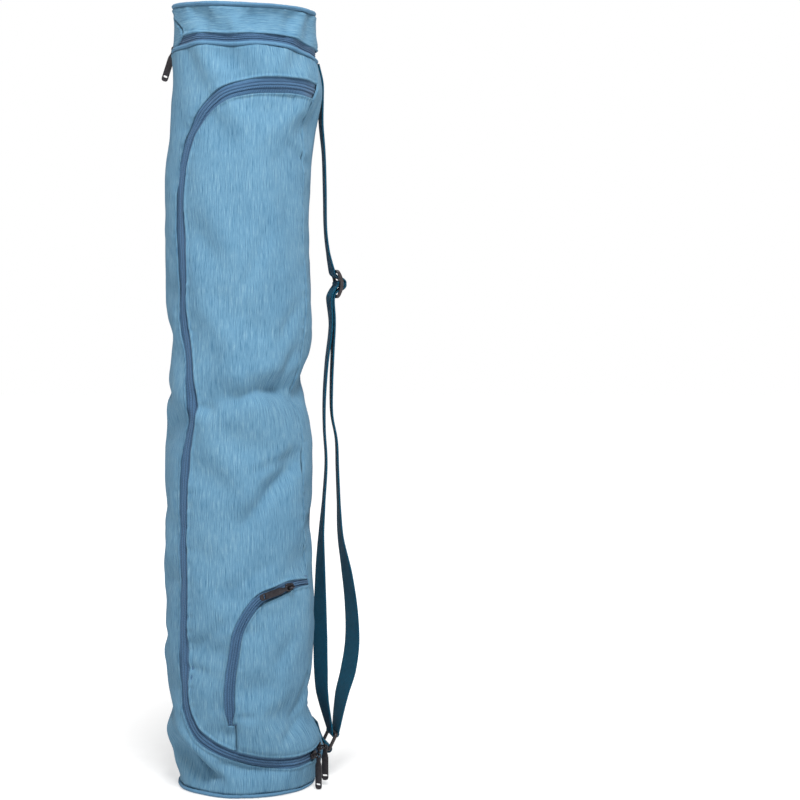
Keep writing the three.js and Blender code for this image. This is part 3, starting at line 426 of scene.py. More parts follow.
def settled(angle, z):
    """The settled shift at any angle and height."""
    column = angle % 360 / 360 * TUBE_COLUMNS
    row = np.clip((z - tube_z[0]) / (tube_z[1] - tube_z[0]), 0, TUBE_ROWS - 1)
    i, j = np.floor(column).astype(int), np.floor(row).astype(int)
    total = np.zeros((*i.shape, 3))
    for b, up in enumerate(spline_weights(row - j)):
        for a, around in enumerate(spline_weights(column - i)):
            at = shift[np.clip(j + b - 1, 0, TUBE_ROWS - 1), (i + a - 1) % TUBE_COLUMNS]
            total += (up * around)[..., None] * at
    return total


CREASES = table(CREASE_COLUMNS, [
    (-42, 0.052, -42, 0.42, 0.055, 0.075), (-38, 0.067, -42, 0.4, 0.09, -0.045),
    (-30, 0.038, -30, 0.3, 0.06, 0.035),
    (10, 0.04, -6, 0.35, 0.07, 0.03), (24, 0.541, 6, 0.52, 0.09, 0.06), (22, 0.567, 6, 0.5, 0.14, -0.035),
    (-27, 0.524, -14, 0.15, 0.08, 0.045), (-24, 0.546, -10, 0.16, 0.11, -0.02),
    (34, 0.447, 22, 0.36, 0.09, 0.035),
    (30, 0.41, 44, 0.6, 0.1, 0.045), (24, 0.432, 44, 0.5, 0.12, -0.025), (50, 0.575, 66, 0.3, 0.09, 0.035),
    (44, 0.63, 58, 0.4, 0.12, 0.035), (2, 0.66, 78, 0.9, 0.3, -0.035), (-16, 0.6, 72, 0.5, 0.14, 0.03),
    (16, 0.72, 66, 0.5, 0.13, 0.028), (-2, 0.34, 62, 0.5, 0.14, 0.03), (12, 0.3, 30, 0.4, 0.1, 0.022),
    (-22, 0.22, 40, 0.3, 0.09, 0.025), (6, 0.112, -2, 0.16, 0.05, 0.028), (48, 0.09, 32, 0.28, 0.07, 0.04),
    (58, 0.12, 46, 0.3, 0.07, 0.035), (66, 0.15, 58, 0.25, 0.07, 0.03), (-34, 0.172, -12, 0.2, 0.06, 0.018),
    (40, 0.2, 55, 0.35, 0.1, 0.025), (-46, 0.36, 24, 0.25, 0.1, 0.012), (-40, 0.9, 12, 0.25, 0.1, 0.02),
    (60, 0.86, -20, 0.35, 0.1, 0.03), (30, 0.935, -10, 0.35, 0.08, 0.02), (-8, 0.955, 12, 0.3, 0.08, 0.018),
    (150, 0.6, 28, 0.6, 0.1, 0.05), (205, 0.46, -20, 0.6, 0.1, 0.045), (170, 0.26, 15, 0.5, 0.1, 0.045),
    (235, 0.78, 25, 0.5, 0.1, 0.035), (-90, 0.55, -15, 0.4, 0.1, 0.04), (-100, 0.2, 20, 0.5, 0.1, 0.04),
    (-28, 1.035, 70, 0.18, 0.08, 0.025), (-8, 1.03, 80, 0.2, 0.08, 0.02), (14, 1.032, 100, 0.2, 0.08, 0.015),
    (44, 1.03, 68, 0.2, 0.08, 0.025),
])
CREASE_STRENGTH = 1.35


def place(angle, z, lift=0.0):
    """Points of the settled cloth, lifted off it."""
    angle, z, lift = np.broadcast_arrays(np.asarray(angle, float), np.asarray(z, float), lift)
    return wall(angle, z, lift - CREASE_STRENGTH * creased(CREASES, angle, z)) + settled(angle, z)


print("most shift of the cloth, mm:", round(float(np.linalg.norm(shift, axis=-1).max()), 1))

# %% [markdown]
# ## Cutting and sewing a panel
# A panel is cut on the flat pattern, filled with triangles, and then laid on the bag. Triangles follow a
# curved edge where a grid of squares would leave steps. Rows of points run close along each edge, because
# that is where sewn cloth has its detail: it rolls over beside a zipper, sinks into a seam, and puckers
# where the thread pulls it.

# %% Shapes that cloth takes at its edges
EDGE_SHAPES = {
    "zipper": [(-0.8, 0, 0.4), (0.85, 1.1, 0.9), (-0.3, 3.1, 0.55)],
    "seam": [(-1.2, 0, 0.8), (0.3, 2.2, 1.2)],
    "cord": [(-0.9, 0, 1.1), (0.25, 2.6, 1.4)],
}
PUCKERS = {"zipper": 0.6, "seam": 0.6, "cord": 0.55}
EDGE_ROWS = (0.45, 0.95, 1.6, 2.4, 3.3, 4.4)
CLOTH_STEP = 2.9
CLOTH_THICKNESS = 1.2


def edge_lift(kind, distance, run, seed):
    lift = sum(height * np.exp(-((distance - at) / width) ** 2) for height, at, width in EDGE_SHAPES[kind])
    ripple = soft_noise(run / 3.4, distance / 16, seed) + 0.5 * soft_noise(run / 7.5, distance / 30, seed + 1)
    fade = np.exp(-(distance / 9) ** 2) * (1 - 0.7 * np.exp(-(distance / 1.2) ** 2))
    return lift + PUCKERS[kind] * ripple * fade


print("kinds of edge:", list(EDGE_SHAPES))


def inside(points, outline):
    """Which flat points lie inside a closed outline."""
    x, y = points.T
    result = np.zeros(len(points), bool)
    for (x1, y1), (x2, y2) in zip(outline, np.roll(outline, -1, axis=0)):
        if y1 != y2:
            result ^= ((y1 > y) != (y2 > y)) & (x < (x2 - x1) * (y - y1) / (y2 - y1) + x1)
    return result


def cut_panel(edges):
    """Flat points and triangles inside a closed row of edges.

    Each edge is a kind and a line, with the cloth on the line's left.
    """
    lines = [even_line(line, 1.4) for kind, line in edges]
    outline = np.vstack([line[:-1] for line in lines])
    tree = tree_of(outline)
    fill = []
    for line in lines:
        for distance in EDGE_ROWS:
            row = beside(line, distance)
            fill.append(row[distance_to(tree, row[:, 0], row[:, 1]) > 0.8 * distance])
    low, high = outline.min(axis=0), outline.max(axis=0)
    rows = np.arange(low[1], high[1], CLOTH_STEP * 0.87)
    grid = []
    for k, z in enumerate(rows):
        s = np.arange(low[0] + k % 2 * CLOTH_STEP / 2, high[0], CLOTH_STEP)
        grid.append(np.stack([s, np.full(len(s), z)], axis=-1))
    grid = np.vstack(grid)
    fill.append(grid[distance_to(tree, grid[:, 0], grid[:, 1]) > EDGE_ROWS[-1] + 1])
    fill = np.vstack(fill)
    fill = fill[inside(fill, outline)]
    count = len(outline)
    points = [Vector(p) for p in np.vstack([outline, fill])]
    loop = [(i, (i + 1) % count) for i in range(count)]
    made = geometry.delaunay_2d_cdt(points, loop, [], 1, 1e-4)
    return np.array([tuple(p) for p in made[0]]), made[2]


def edge_distances(edges, flat):
    """For each kind of edge, the distance of each flat point and its place along that edge."""
    result = {}
    for kind in {kind for kind, line in edges}:
        line = np.vstack([even_line(line, 0.7) for each, line in edges if each == kind])
        tree = tree_of(line)
        found = [tree.find((s, z, 0)) for s, z in flat]
        result[kind] = np.array([f[2] for f in found]), np.array([f[1] for f in found]) * 0.7
    return result


# %% From points to a finished piece
pieces = {}


def make(name, points, faces, thread=None, shade=None, thickness=0.0):
    """A mesh object from millimetres, with the directions of its threads and where shade is painted on it."""
    mesh = bpy.data.meshes.new(name)
    mesh.from_pydata((np.reshape(points, (-1, 3)) * MM).tolist(), [], faces)
    mesh.shade_smooth()
    layers = ("thread", thread, "FLOAT_VECTOR", "vector"), ("shade", shade, "FLOAT", "value")
    for key, values, kind, field in layers:
        if values is not None:
            mesh.attributes.new(key, kind, "POINT").data.foreach_set(field, np.ravel(values))
    piece = bpy.data.objects.new(name, mesh)
    scene.collection.objects.link(piece)
    if thickness:
        solid = piece.modifiers.new("thickness", "SOLIDIFY")
        solid.thickness = thickness * MM
        solid.offset = -1
    pieces[name] = piece
    return piece


def sew(name, edges, base_lift=None, swap=False, seed=0):
    """A panel of cloth on the bag."""
    flat, faces = cut_panel(edges)
    s, z = flat.T
    angle = to_angle(s)
    near = edge_distances(edges, flat)
    lift = 1.1 * soft_noise((s + 0.4 * z) / 24, (z - 0.3 * s) / 42, 11)
    lift += 0.4 * soft_noise((s - 0.5 * z) / 11, (z + 0.2 * s) / 17, 12)
    lift += base_lift(angle, z, near) if base_lift else 0
    shade = np.zeros(len(flat))
    for kind, (distance, run) in near.items():
        lift += edge_lift(kind, distance, run, seed)
        # Painted shade: the cloth is marked for darkening close to each seam, zipper and cord, where shade
        # falls.
        shade = np.maximum(shade, np.exp(-(distance / 1.3) ** 2))
    thread = np.stack([z, s, 0 * s] if swap else [s, z, 0 * s], axis=-1)
    piece = make(name, place(angle, z, lift), faces, thread, shade, CLOTH_THICKNESS)
    print(name, "triangles:", len(faces))
    return piece


# %% [markdown]
# ## The body's panels
# One wide panel wraps the back and the left of the bag and reaches round to the strap. The front flap fills
# the C of the main zipper, the pocket lies over its lower corner, and a narrow panel runs up the side under
# the strap.

# %% Where the panels end
ZIPPER_HALF, POCKET_ZIPPER_HALF, SEAM_GAP = 6.6, 4.3, 0.15
NARROW = 4.9
cord_room = CORD_RADIUS - 0.3
wall_bottom = CORD_RADIUS + GAP + cord_room


def eased(value):
    t = np.clip(value, 0, 1)
    return t * t * (3 - 2 * t)


def lips(line):
    """How far the cloth's lips lie from the main zipper's middle: the cloth gapes along the top alone."""
    top = eased((to_angle(line[:, 0]) + 42) / 50) * (line[:, 1] > BODY_HEIGHT / 2)
    return NARROW + (ZIPPER_HALF - NARROW) * top


def pocket_lips(line):
    """The same for the pocket's zipper, which closes up towards both of its ends."""
    low_end = 0.35 + 0.65 * eased((line[:, 1] - line[:, 1].min()) / 15)
    return POCKET_ZIPPER_HALF * (0.5 + 0.5 * eased((70 - to_angle(line[:, 0])) / 35)) * low_end


def seam_at(column, z, gap=0.0):
    """A side seam of the strap panel at some heights, moved aside by a gap."""
    return np.stack([to_s(along(STRAP_PANEL, column, z / BODY_HEIGHT)) + gap, z], axis=-1)


def up_to_seam(line, gap=0.0):
    """The part of a line that lies before the strap panel's front seam."""
    past = line[:, 0] - seam_at("front", line[:, 1], gap)[:, 0]
    keep = np.flatnonzero(past < 0)
    first, last = keep[0], keep[-1]
    ends = []
    for i, j in ((first, first - 1), (last, last + 1)):
        if 0 <= j < len(line):
            t = past[i] / (past[i] - past[j])
            ends.append(line[i] + t * (line[j] - line[i]))
        else:
            ends.append(line[i])
    return np.vstack([ends[:1], line[first:last + 1], ends[1:]])


def meet(line, other):
    """The places on two lines where they come closest."""
    away = np.linalg.norm(line[:, None] - other[None], axis=-1)
    return np.unravel_index(away.argmin(), away.shape)


def level(height, start, end, drop=0.0):
    """A line round the bag at a height that may change with the angle."""
    angle = np.linspace(start, end, 120)
    return np.stack([to_s(angle), height(angle) - drop], axis=-1)


def rise(column, start, end, gap=0.0):
    return seam_at(column, np.linspace(start, end, 300), gap)


def seam_angle(column, z):
    return float(along(STRAP_PANEL, column, z / BODY_HEIGHT))


outer = up_to_seam(beside(main_line, -lips(main_line)), -SEAM_GAP)
inner = up_to_seam(beside(main_line, lips(main_line)), -SEAM_GAP)
pocket_outer = up_to_seam(beside(pocket_line, -pocket_lips(pocket_line)), -SEAM_GAP)
pocket_inner = up_to_seam(beside(pocket_line, pocket_lips(pocket_line)), -SEAM_GAP)
wall_top = BODY_HEIGHT - cord_room
turn = np.array([ROUND, 0])
front_top, back_top = seam_angle("front", wall_top), seam_angle("back", wall_top)
front_low, back_low = seam_angle("front", wall_bottom), seam_angle("back", wall_bottom)


def top_edge(start, end):
    return level(seam_height, start, end, cord_room)


def bottom_edge(start, end):
    return level(lambda angle: 0 * angle + wall_bottom, start, end)


top_front_z = float(top_edge(front_top, front_top)[0, 1])
top_back_z = float(top_edge(back_top, back_top)[0, 1])
print("main zipper meets the side seam at heights, mm:", outer[0, 1].round(), outer[-1, 1].round())

# %% Body wrap
sew("body_wrap_cloth", [
    ("cord", bottom_edge(back_low, front_low + 360)),
    ("seam", rise("front", wall_bottom, outer[-1, 1], -SEAM_GAP) + turn),
    ("zipper", outer[::-1] + turn),
    ("seam", rise("front", outer[0, 1], top_front_z, -SEAM_GAP) + turn),
    ("cord", top_edge(front_top + 360, back_top)),
    ("seam", rise("back", top_back_z, wall_bottom, SEAM_GAP)),
], seed=1)

# %% Strap panel
TAPE_BUMP = 1.1


def over_tapes(angle, z, near):
    """The strap panel rises a little over the ends of the tapes that run under it."""
    past_seam = to_s(angle) - seam_at("front", z)[:, 0]
    heights = ((outer[0, 1] + inner[0, 1]) / 2, (outer[-1, 1] + inner[-1, 1]) / 2, pocket_outer[0, 1] - 5)
    return sum(TAPE_BUMP * np.exp(-((z - h) / 7) ** 4 - (past_seam / 12) ** 2) for h in heights)


sew("strap_panel_cloth", [
    ("cord", bottom_edge(front_low, back_low)),
    ("seam", rise("back", wall_bottom, top_back_z, -SEAM_GAP)),
    ("cord", top_edge(back_top, front_top)),
    ("seam", rise("front", top_front_z, wall_bottom, SEAM_GAP)),
], over_tapes, seed=2)

# %% Front flap
POCKET_RISE = 1.9
flap_end, seam_start = meet(inner, pocket_seam_line)
pocket_edge_line = pocket_seam_line[:seam_start + 1][::-1]


def beside_pocket(angle, z, near):
    """The flap rises beside the pocket's zipper to meet its tape."""
    s = to_s(angle)
    away = distance_to(tree_of(pocket_outer), s, z)
    front = seam_at("front", z)[:, 0] - s
    return POCKET_RISE * np.exp(-(away / 5) ** 2) * (1 - 0.8 * np.exp(-(front / 5) ** 2))


sew("front_flap_cloth", [
    ("zipper", inner[:flap_end + 1]),
    ("seam", pocket_edge_line - (SEAM_GAP, 0)),
    ("seam", np.linspace(pocket_edge_line[-1] - (SEAM_GAP, 0), pocket_outer[-1], 6)),
    ("zipper", pocket_outer[::-1]),
    ("seam", rise("front", pocket_outer[0, 1], inner[0, 1], -SEAM_GAP)),
], beside_pocket, seed=3)

# %% Pocket
POCKET_MIDDLE = dict(angle=36, height=0.165, round=46, tall=0.13, puff=2.6)


def pocket_lift(angle, z, near):
    """The empty pocket stands off the flap, and comes down to it along its seams."""
    m = POCKET_MIDDLE
    sideways = (angle - m["angle"]) / m["round"]
    upwards = (z / BODY_HEIGHT - m["height"]) / m["tall"]
    bulge = np.exp(-sideways ** 4 - upwards ** 4)
    held = 1 - 0.75 * np.exp(-(near["seam"][0] / 4) ** 2)
    low = 1 - 0.75 * np.exp(-(distance_to(tree_of(inner[flap_end:]), to_s(angle), z) / 4) ** 2)
    return (POCKET_RISE + m["puff"] * bulge) * np.minimum(held, low)


pocket_close = np.linspace(pocket_inner[-1], pocket_edge_line[-1] + (SEAM_GAP, 0), 4)
sew("pocket_cloth", [
    ("zipper", inner[flap_end:]),
    ("seam", rise("front", inner[-1, 1], pocket_inner[0, 1], -SEAM_GAP)),
    ("zipper", pocket_inner),
    ("seam", pocket_close),
    ("seam", pocket_edge_line[::-1] + (SEAM_GAP, 0)),
], pocket_lift, seed=4)

# %% [markdown]
# ## Zippers
# A reversed coil zipper shows a woven tape with two soft ridges where the coil lies behind it. Its cross-
# section is one short list of places across and heights, swept along the zipper's line. The tape runs on
# under the cloth on both sides, and under the strap panel at its ends.

# %% Sweeping a section
def grid_faces(rows, columns, close_rows=False, close_columns=False):
    """Squares between the points of a grid, row by row."""
    return [
        (i * columns + j, (i + 1) % rows * columns + j, (i + 1) % rows * columns + (j + 1) % columns,
         i * columns + (j + 1) % columns)
        for i in range(rows if close_rows else rows - 1)
        for j in range(columns if close_columns else columns - 1)
    ]


def tape_section(half, bead, groove, under, flat_depth):
    """Places across a zipper tape, from edge to edge, and their heights."""
    side = [
        (half + under, flat_depth - 0.3), (half + 0.4, flat_depth), (half * 0.72, flat_depth + 0.05),
        (groove + 0.5, flat_depth), (groove + 0.15, flat_depth - 0.3), (groove - 0.2, flat_depth - 0.25),
        (groove - 0.55, bead - 0.12), (groove * 0.55, bead), (0.75, bead - 0.05), (0.3, bead - 0.35),
    ]
    left = [(-across, height) for across, height in side]
    return np.array(left + [(0, bead - 0.85)] + side[::-1])


def tape(name, line, section, groove, base_lift):
    """A zipper's tape along a flat line, with shade painted in its grooves and along its middle."""
    flat = np.stack([beside(line, across) for across, height in section], axis=1)
    run = np.concatenate([[0], np.cumsum(np.linalg.norm(np.diff(line, axis=0), axis=1))])
    angle, z = to_angle(flat[..., 0]), flat[..., 1]
    lift = base_lift(flat[..., 0], z) + section[:, 1]
    across = np.broadcast_to(section[:, 0], z.shape)
    thread = np.stack([across, np.broadcast_to(run[:, None], z.shape), 0 * z], axis=-1)
    # Painted shade in the tape's two grooves and along its middle, where the halves meet.
    shade = np.maximum(np.exp(-((np.abs(across) - groove) / 0.5) ** 2), 0.8 * np.exp(-(across / 0.5) ** 2))
    faces = grid_faces(*z.shape)
    piece = make(name, place(angle, z, lift), faces, thread.reshape(-1, 3), shade.ravel(), 0.6)
    print(name, "mm long:", round(float(run[-1])))
    return piece


def past_seam(s, z):
    return s - seam_at("front", z.ravel())[:, 0].reshape(z.shape)


def dive(s, z):
    """The tape goes down where it passes under the strap panel."""
    return -0.9 / (1 + np.exp(-(past_seam(s, z) + 0.5) / 0.7))


def trimmed(line, beyond):
    """The part of a zipper's line up to a little past the strap panel's seam."""
    return line[seam_at("front", line[:, 1])[:, 0] + beyond > line[:, 0]]


# %% The tapes
MAIN_GROOVE, POCKET_GROOVE, LID_GROOVE = 2.8, 2.0, 1.7
main_section = tape_section(ZIPPER_HALF, -0.3, MAIN_GROOVE, 2.2, -1.15)
pocket_section = tape_section(POCKET_ZIPPER_HALF, -0.3, POCKET_GROOVE, 1.6, -1.0)
fine_main = even_line(trimmed(main_line, 7), 1.2)
fine_pocket = even_line(trimmed(pocket_line, 6), 1.2)
tape("main_zipper_tape", fine_main, main_section, MAIN_GROOVE, dive)
tape("pocket_zipper_tape", fine_pocket, pocket_section, POCKET_GROOVE,
     lambda s, z: (POCKET_RISE + 0.1) / (1 + np.exp((past_seam(s, z) + 1.5) / 1.0)) + dive(s, z))

# %% [markdown]
# ## Lid, cords and bottom
# The lid is a short band with a round top. A zipper opens it all round but for a cloth hinge at the left
# rear, where a slanted seam joins hinge and band. Piping, a cord wrapped in cloth, stiffens the three round
# seams.

# %% Lid
LID_SEAM = [(-84, 709.5), (-76, 704.5), (-65, 697.5), (-55.5, 691), (-53.5, 685), (-57, 681), (-64, 676)]
LID_ZIPPER_HEIGHT = 6.5
HINGE_BACK = -95
lid_seam = even_line(smooth_line([(to_s(a), z) for a, z in LID_SEAM]), 1.0)
tape_low = CORD_RADIUS + GAP
band_low = tape_low + LID_ZIPPER_HEIGHT + GAP
band_start = lid_seam[np.abs(lid_seam[:, 1] - seam_height(-55) - band_low).argmin()]
band_start_angle = float(to_angle(band_start[0]))
upper_seam = lid_seam[lid_seam[:, 1] >= band_start[1]]
rim_start = float(to_angle(upper_seam[0, 0]))


def straight(angle, low, high, gap=0.0):
    return np.stack([np.full(30, to_s(angle) + gap), np.linspace(low, high, 30)], axis=-1)


def sew_lid_piece(name, edges, seed):
    return sew(name, edges, swap=True, seed=seed)


back_end = HINGE_BACK + 360
band_end = seam_height(back_end) + band_low, rim_height(back_end) - cord_room
hinge_end = rim_height(HINGE_BACK) - cord_room, seam_height(HINGE_BACK) + cord_room
lid_line_start = float(to_angle(lid_seam[-1, 0]))
sew_lid_piece("lid_band_cloth", [
    ("zipper", level(seam_height, band_start_angle, back_end, -band_low)),
    ("seam", straight(back_end, *band_end, -SEAM_GAP)),
    ("cord", level(rim_height, back_end, rim_start, cord_room)),
    ("seam", upper_seam + (SEAM_GAP, 0)),
], 5)
sew_lid_piece("lid_hinge_cloth", [
    ("cord", level(seam_height, HINGE_BACK, to_angle(lid_seam[-1, 0]), -cord_room)),
    ("seam", lid_seam[::-1] - (SEAM_GAP, 0)),
    ("cord", level(rim_height, rim_start, HINGE_BACK, cord_room)),
    ("seam", straight(HINGE_BACK, *hinge_end, SEAM_GAP)),
], 6)
lid_half = LID_ZIPPER_HEIGHT / 2
lid_section = tape_section(lid_half + 0.4, -0.35, LID_GROOVE, 1.6, -1.0)
lid_line = even_line(level(seam_height, lid_line_start, back_end + 1, -tape_low - lid_half), 1.2)
tape("lid_zipper_tape", lid_line, lid_section, LID_GROOVE, lambda s, z: 0 * z)


# %% Cords
CORD_SIDES, CORD_STEPS = 14, 420


def cord(name, height, radius, seed):
    """A cloth-wrapped cord round the bag."""
    angle = np.arange(CORD_STEPS) * 360 / CORD_STEPS
    angle, turn_round = np.meshgrid(angle, np.arange(CORD_SIDES) * 2 * np.pi / CORD_SIDES, indexing="ij")
    fine = 0.05 * soft_noise(angle / 1.6, turn_round, seed)
    r = radius * (1 + fine + 0.04 * soft_noise(angle / 6, 0, seed + 1))
    wander = 0.25 * soft_noise(angle / 14, 0, seed + 2)
    points = place(angle, height(angle) + wander + r * np.sin(turn_round), CORD_OUT + r * np.cos(turn_round))
    thread = np.stack([to_s(angle), turn_round * radius, 0 * angle], axis=-1)
    piece = make(name, points, grid_faces(CORD_STEPS, CORD_SIDES, True, True), thread.reshape(-1, 3))
    print(name, "vertices:", CORD_STEPS * CORD_SIDES)
    return piece


BASE_CORD_HEIGHT = CORD_RADIUS + GAP
cord("base_cord", lambda angle: 0 * angle + BASE_CORD_HEIGHT, CORD_RADIUS - 0.15, 21)
cord("seam_cord", seam_height, CORD_RADIUS, 22)
cord("rim_cord", rim_height, CORD_RADIUS, 23)


# %% Round panels
def round_panel(name, height, thickness, crown, seed):
    """A round panel inside a cord, from rings of points that shrink to the middle."""
    rings, steps = 30, 160
    angle = np.arange(steps) * 360 / steps
    share = np.linspace(1, 0.02, rings)[:, None]
    edge = wall(angle, height(angle), -2.0)
    middle = np.array([0, 0, float(np.mean(height(angle)))])
    points = middle + share[..., None] * (edge - middle)
    x, y = points[..., 0], points[..., 1]
    dome = 1 - share ** 2
    crumple = 0.7 * soft_noise(x / 17, y / 13, seed) + 0.3 * soft_noise(x / 6, y / 7, seed + 1)
    pucker = 0.3 * np.exp(-((1 - share) / 0.12) ** 2) * soft_noise(angle / 3.5, share * 4, seed + 2)
    unevenness = (crumple * np.minimum(1, 5 * (1 - share)) + pucker) * (1 if crown else 0.15)
    points[..., 2] += crown * dome + unevenness
    thread = np.stack([x, y, 0 * x], axis=-1)
    # Painted shade on the panel's outer edge, where it meets the cord.
    shade = np.exp(-((1 - share) / 0.03) ** 2) + 0 * x
    faces = grid_faces(rings, steps, False, True)
    centre = [tuple((rings - 1) * steps + i for i in range(steps))]
    faces = [tuple(reversed(face)) for face in faces] + centre
    piece = make(name, points, faces if thickness > 0 else [tuple(reversed(f)) for f in faces],
                 thread.reshape(-1, 3), shade.ravel(), abs(thickness))
    print(name, "crown, mm:", crown)
    return piece


round_panel("lid_top_cloth", rim_height, 1.4, 1.6, 31)
round_panel("base_cloth", lambda angle: 0 * angle + 0.35, -1.8, 0, 34)

# %% [markdown]
# ## Strap
# The strap is one length of webbing. It starts in the seam at the top, goes through the adjuster, down
# round the ring and up again, and ends sewn round the adjuster's middle bar. Its route is a list of stops
# in one upright plane, and its width lies across that plane, so it is swept as a flat band with rounded
# edges.

# %% The strap's plane and its stops
STRAP_ANGLE, STRAP_WIDTH, STRAP_THICKNESS = 104, 25, 1.5
SPAN, BOW, BAR, RAIL = 11.5, 3.5, 1.6, 3
RING_SPAN, RING_LEAN, RING_BAR, STRAP_SLACK = 15.5, 26.5, 3, 1
STOPS = "height out turn"
STRAP_TOP = table(STOPS, [
    (0.965, 1.12, 0), (0.94, 1.125, -1), (0.91, 1.13, -4), (0.87, 1.165, -6), (0.82, 1.18, -6),
    (0.765, 1.19, -7),
    (0.735, 1.225, -6),
])
STRAP_OUTER = table(STOPS, [
    (0.64, 1.305, -5), (0.6, 1.29, -6), (0.55, 1.27, -7), (0.51, 1.275, -8), (0.475, 1.34, -8),
    (0.435, 1.355, -7),
    (0.385, 1.375, -6), (0.34, 1.4, -1), (0.29, 1.49, 10), (0.24, 1.555, 15), (0.19, 1.57, 19),
    (0.15, 1.51, 21),
    (0.115, 1.41, 15),
])
STRAP_INNER = table(STOPS, [
    (0.118, 1.125, 15), (0.155, 1.105, 19), (0.2, 1.1, 19), (0.25, 1.1, 14), (0.3, 1.105, 7),
    (0.345, 1.12, -2),
    (0.39, 1.155, -7), (0.445, 1.19, -8), (0.49, 1.165, -8), (0.53, 1.165, -7), (0.58, 1.2, -6),
    (0.635, 1.265, -5),
])
strap_turn = math.radians(STRAP_ANGLE)
strap_out = np.array([math.sin(strap_turn), -math.cos(strap_turn), 0])
strap_across = np.array([math.cos(strap_turn), math.sin(strap_turn), 0])
up = np.array([0, 0, 1.0])
adjuster_out, adjuster_z = 1.375 * BODY_RADIUS, 0.691 * BODY_HEIGHT
ring_top = np.array([1.28 * BODY_RADIUS, 0.064 * BODY_HEIGHT])
ring_lean = math.radians(RING_LEAN)
ring_bottom = ring_top - RING_SPAN * np.array([math.sin(ring_lean), math.cos(ring_lean)])
one_layer = GAP + STRAP_THICKNESS / 2
next_layer = GAP + STRAP_THICKNESS
past_bar = BAR + one_layer
over_loop = past_bar + next_layer + 0.1
ring_turn = RING_BAR / math.sqrt(2) + one_layer


def on_wall(z):
    """How far out webbing lies that rests on the bag."""
    return float(np.hypot(*wall(STRAP_ANGLE, z)[:2])) + one_layer


def stops_of(rows):
    return [
        (max(out * BODY_RADIUS, on_wall(height * BODY_HEIGHT)), height * BODY_HEIGHT, turn_by)
        for height, out, turn_by in zip(*rows.values())
    ]


def round_bar(middle, radius, start, end, count):
    return [
        (middle[0] + radius * math.cos(a), middle[1] + radius * math.sin(a), 0)
        for a in np.radians(np.linspace(start, end, count))
    ]


def by_adjuster(rows):
    return [(adjuster_out + out, adjuster_z + height, 0) for out, height in rows]


# The webbing's way over the adjuster's middle bar, from above; the way out below it is its mirror.
edge_out = -BOW - past_bar
way_in = [
    (edge_out - 0.2, SPAN + 1.5), (edge_out + 0.9, SPAN - 2.4), (-2.4, 0.58 * SPAN), (1.9, 1.08 * over_loop),
    (0.96 * over_loop, 0.5 * over_loop),
]
through = by_adjuster(way_in + [(over_loop, 0)] + [(out, -height) for out, height in way_in[::-1]])
sewn_end = by_adjuster([
    (edge_out - next_layer - 0.6, -SPAN - 2), (edge_out - next_layer + 0.2, -SPAN + 1.8),
    (-5.4, -0.46 * SPAN),
])
strap_start = float(seam_height(STRAP_ANGLE)) - cord_room
strap_stops = [
    (on_wall(strap_start), strap_start, 0), *stops_of(STRAP_TOP), *through, *stops_of(STRAP_OUTER),
    *round_bar(ring_top, ring_turn, 20, -200, 7), *stops_of(STRAP_INNER), *sewn_end,
    *round_bar((adjuster_out, adjuster_z), past_bar, 200, -70, 8),
]


def on_bag(rises):
    """Stops of the ring's tab where it lies on the wall, at heights over the ring's lower bar."""
    return [(on_wall(ring_bottom[1] + more), ring_bottom[1] + more, 0) for more in rises]


tab_stops = [*on_bag((26, 14)), *round_bar(ring_bottom, ring_turn, 100, -110, 6), *on_bag((-7, -15))]
print("stops of the strap:", len(strap_stops))


# %% Webbing
def webbing_section():
    """A flat band's section, clockwise from its left top, with soft edges and a slight crown."""
    half, thick = STRAP_WIDTH / 2, STRAP_THICKNESS / 2
    top = [(-1, 0.1), (-0.985, 0.62), (-0.95, 0.95), (-0.85, 1.0), (-0.45, 0.97), (0, 0.96), (0.45, 0.97),
           (0.85, 1.0), (0.95, 0.95), (0.985, 0.62), (1, 0.1)]
    return np.array([(a * half, b * thick) for a, b in top] + [(a * half, -b * thick) for a, b in top[::-1]])


PIECES_PER_STOP = 8


def webbing(name, stops):
    """Webbing through stops of distance out, height and turn."""
    stops = np.array(stops)
    route = smooth_line(stops[:, :2], PIECES_PER_STOP)
    steps = len(route)
    turned = np.interp(np.linspace(0, len(stops) - 1, steps), np.arange(len(stops)), stops[:, 2])
    middle = route[:, :1] * strap_out + route[:, 1:] * up
    ahead = np.gradient(middle, axis=0)
    ahead /= np.linalg.norm(ahead, axis=1, keepdims=True)
    c, s = np.cos(np.radians(turned))[:, None], np.sin(np.radians(turned))[:, None]
    side = c * strap_across - s * strap_out
    face = np.cross(ahead, side)
    face /= np.linalg.norm(face, axis=1, keepdims=True)
    side = np.cross(face, ahead)
    section = webbing_section()
    points = middle[:, None] + section[:, :1] * side[:, None] + section[:, 1:] * face[:, None]
    run = np.concatenate([[0], np.cumsum(np.linalg.norm(np.diff(middle, axis=0), axis=1))])
    count = len(section)
    shape = (steps, count)
    thread = np.stack([
        np.broadcast_to(section[:, 0], shape), np.broadcast_to(run[:, None], shape),
        np.broadcast_to(section[:, 1], shape),
    ], axis=-1)
    faces = grid_faces(steps, count, False, True)
    faces += [tuple(range(count))[::-1], tuple((steps - 1) * count + i for i in range(count))]
    # Painted shade along the strap's rounded edges.
    shade = np.broadcast_to(np.abs(section[:, 0]) > 0.93 * STRAP_WIDTH / 2, shape).astype(float)
    piece = make(name, points, faces, thread.reshape(-1, 3), shade.ravel())
    print(name, "mm long:", round(float(run[-1])))
    return piece


webbing("shoulder_strap", strap_stops)
webbing("ring_tab_webbing", tab_stops)

# %% [markdown]
# ## Ring, adjuster, sliders and pulls
# These are hard parts with soft edges. Each flat one is drawn as an outline with its holes, given a
# thickness and a bevel by Blender's 2D curve, and turned to a mesh. The sliders also carry an arch of wire
# that holds the pull's eye.

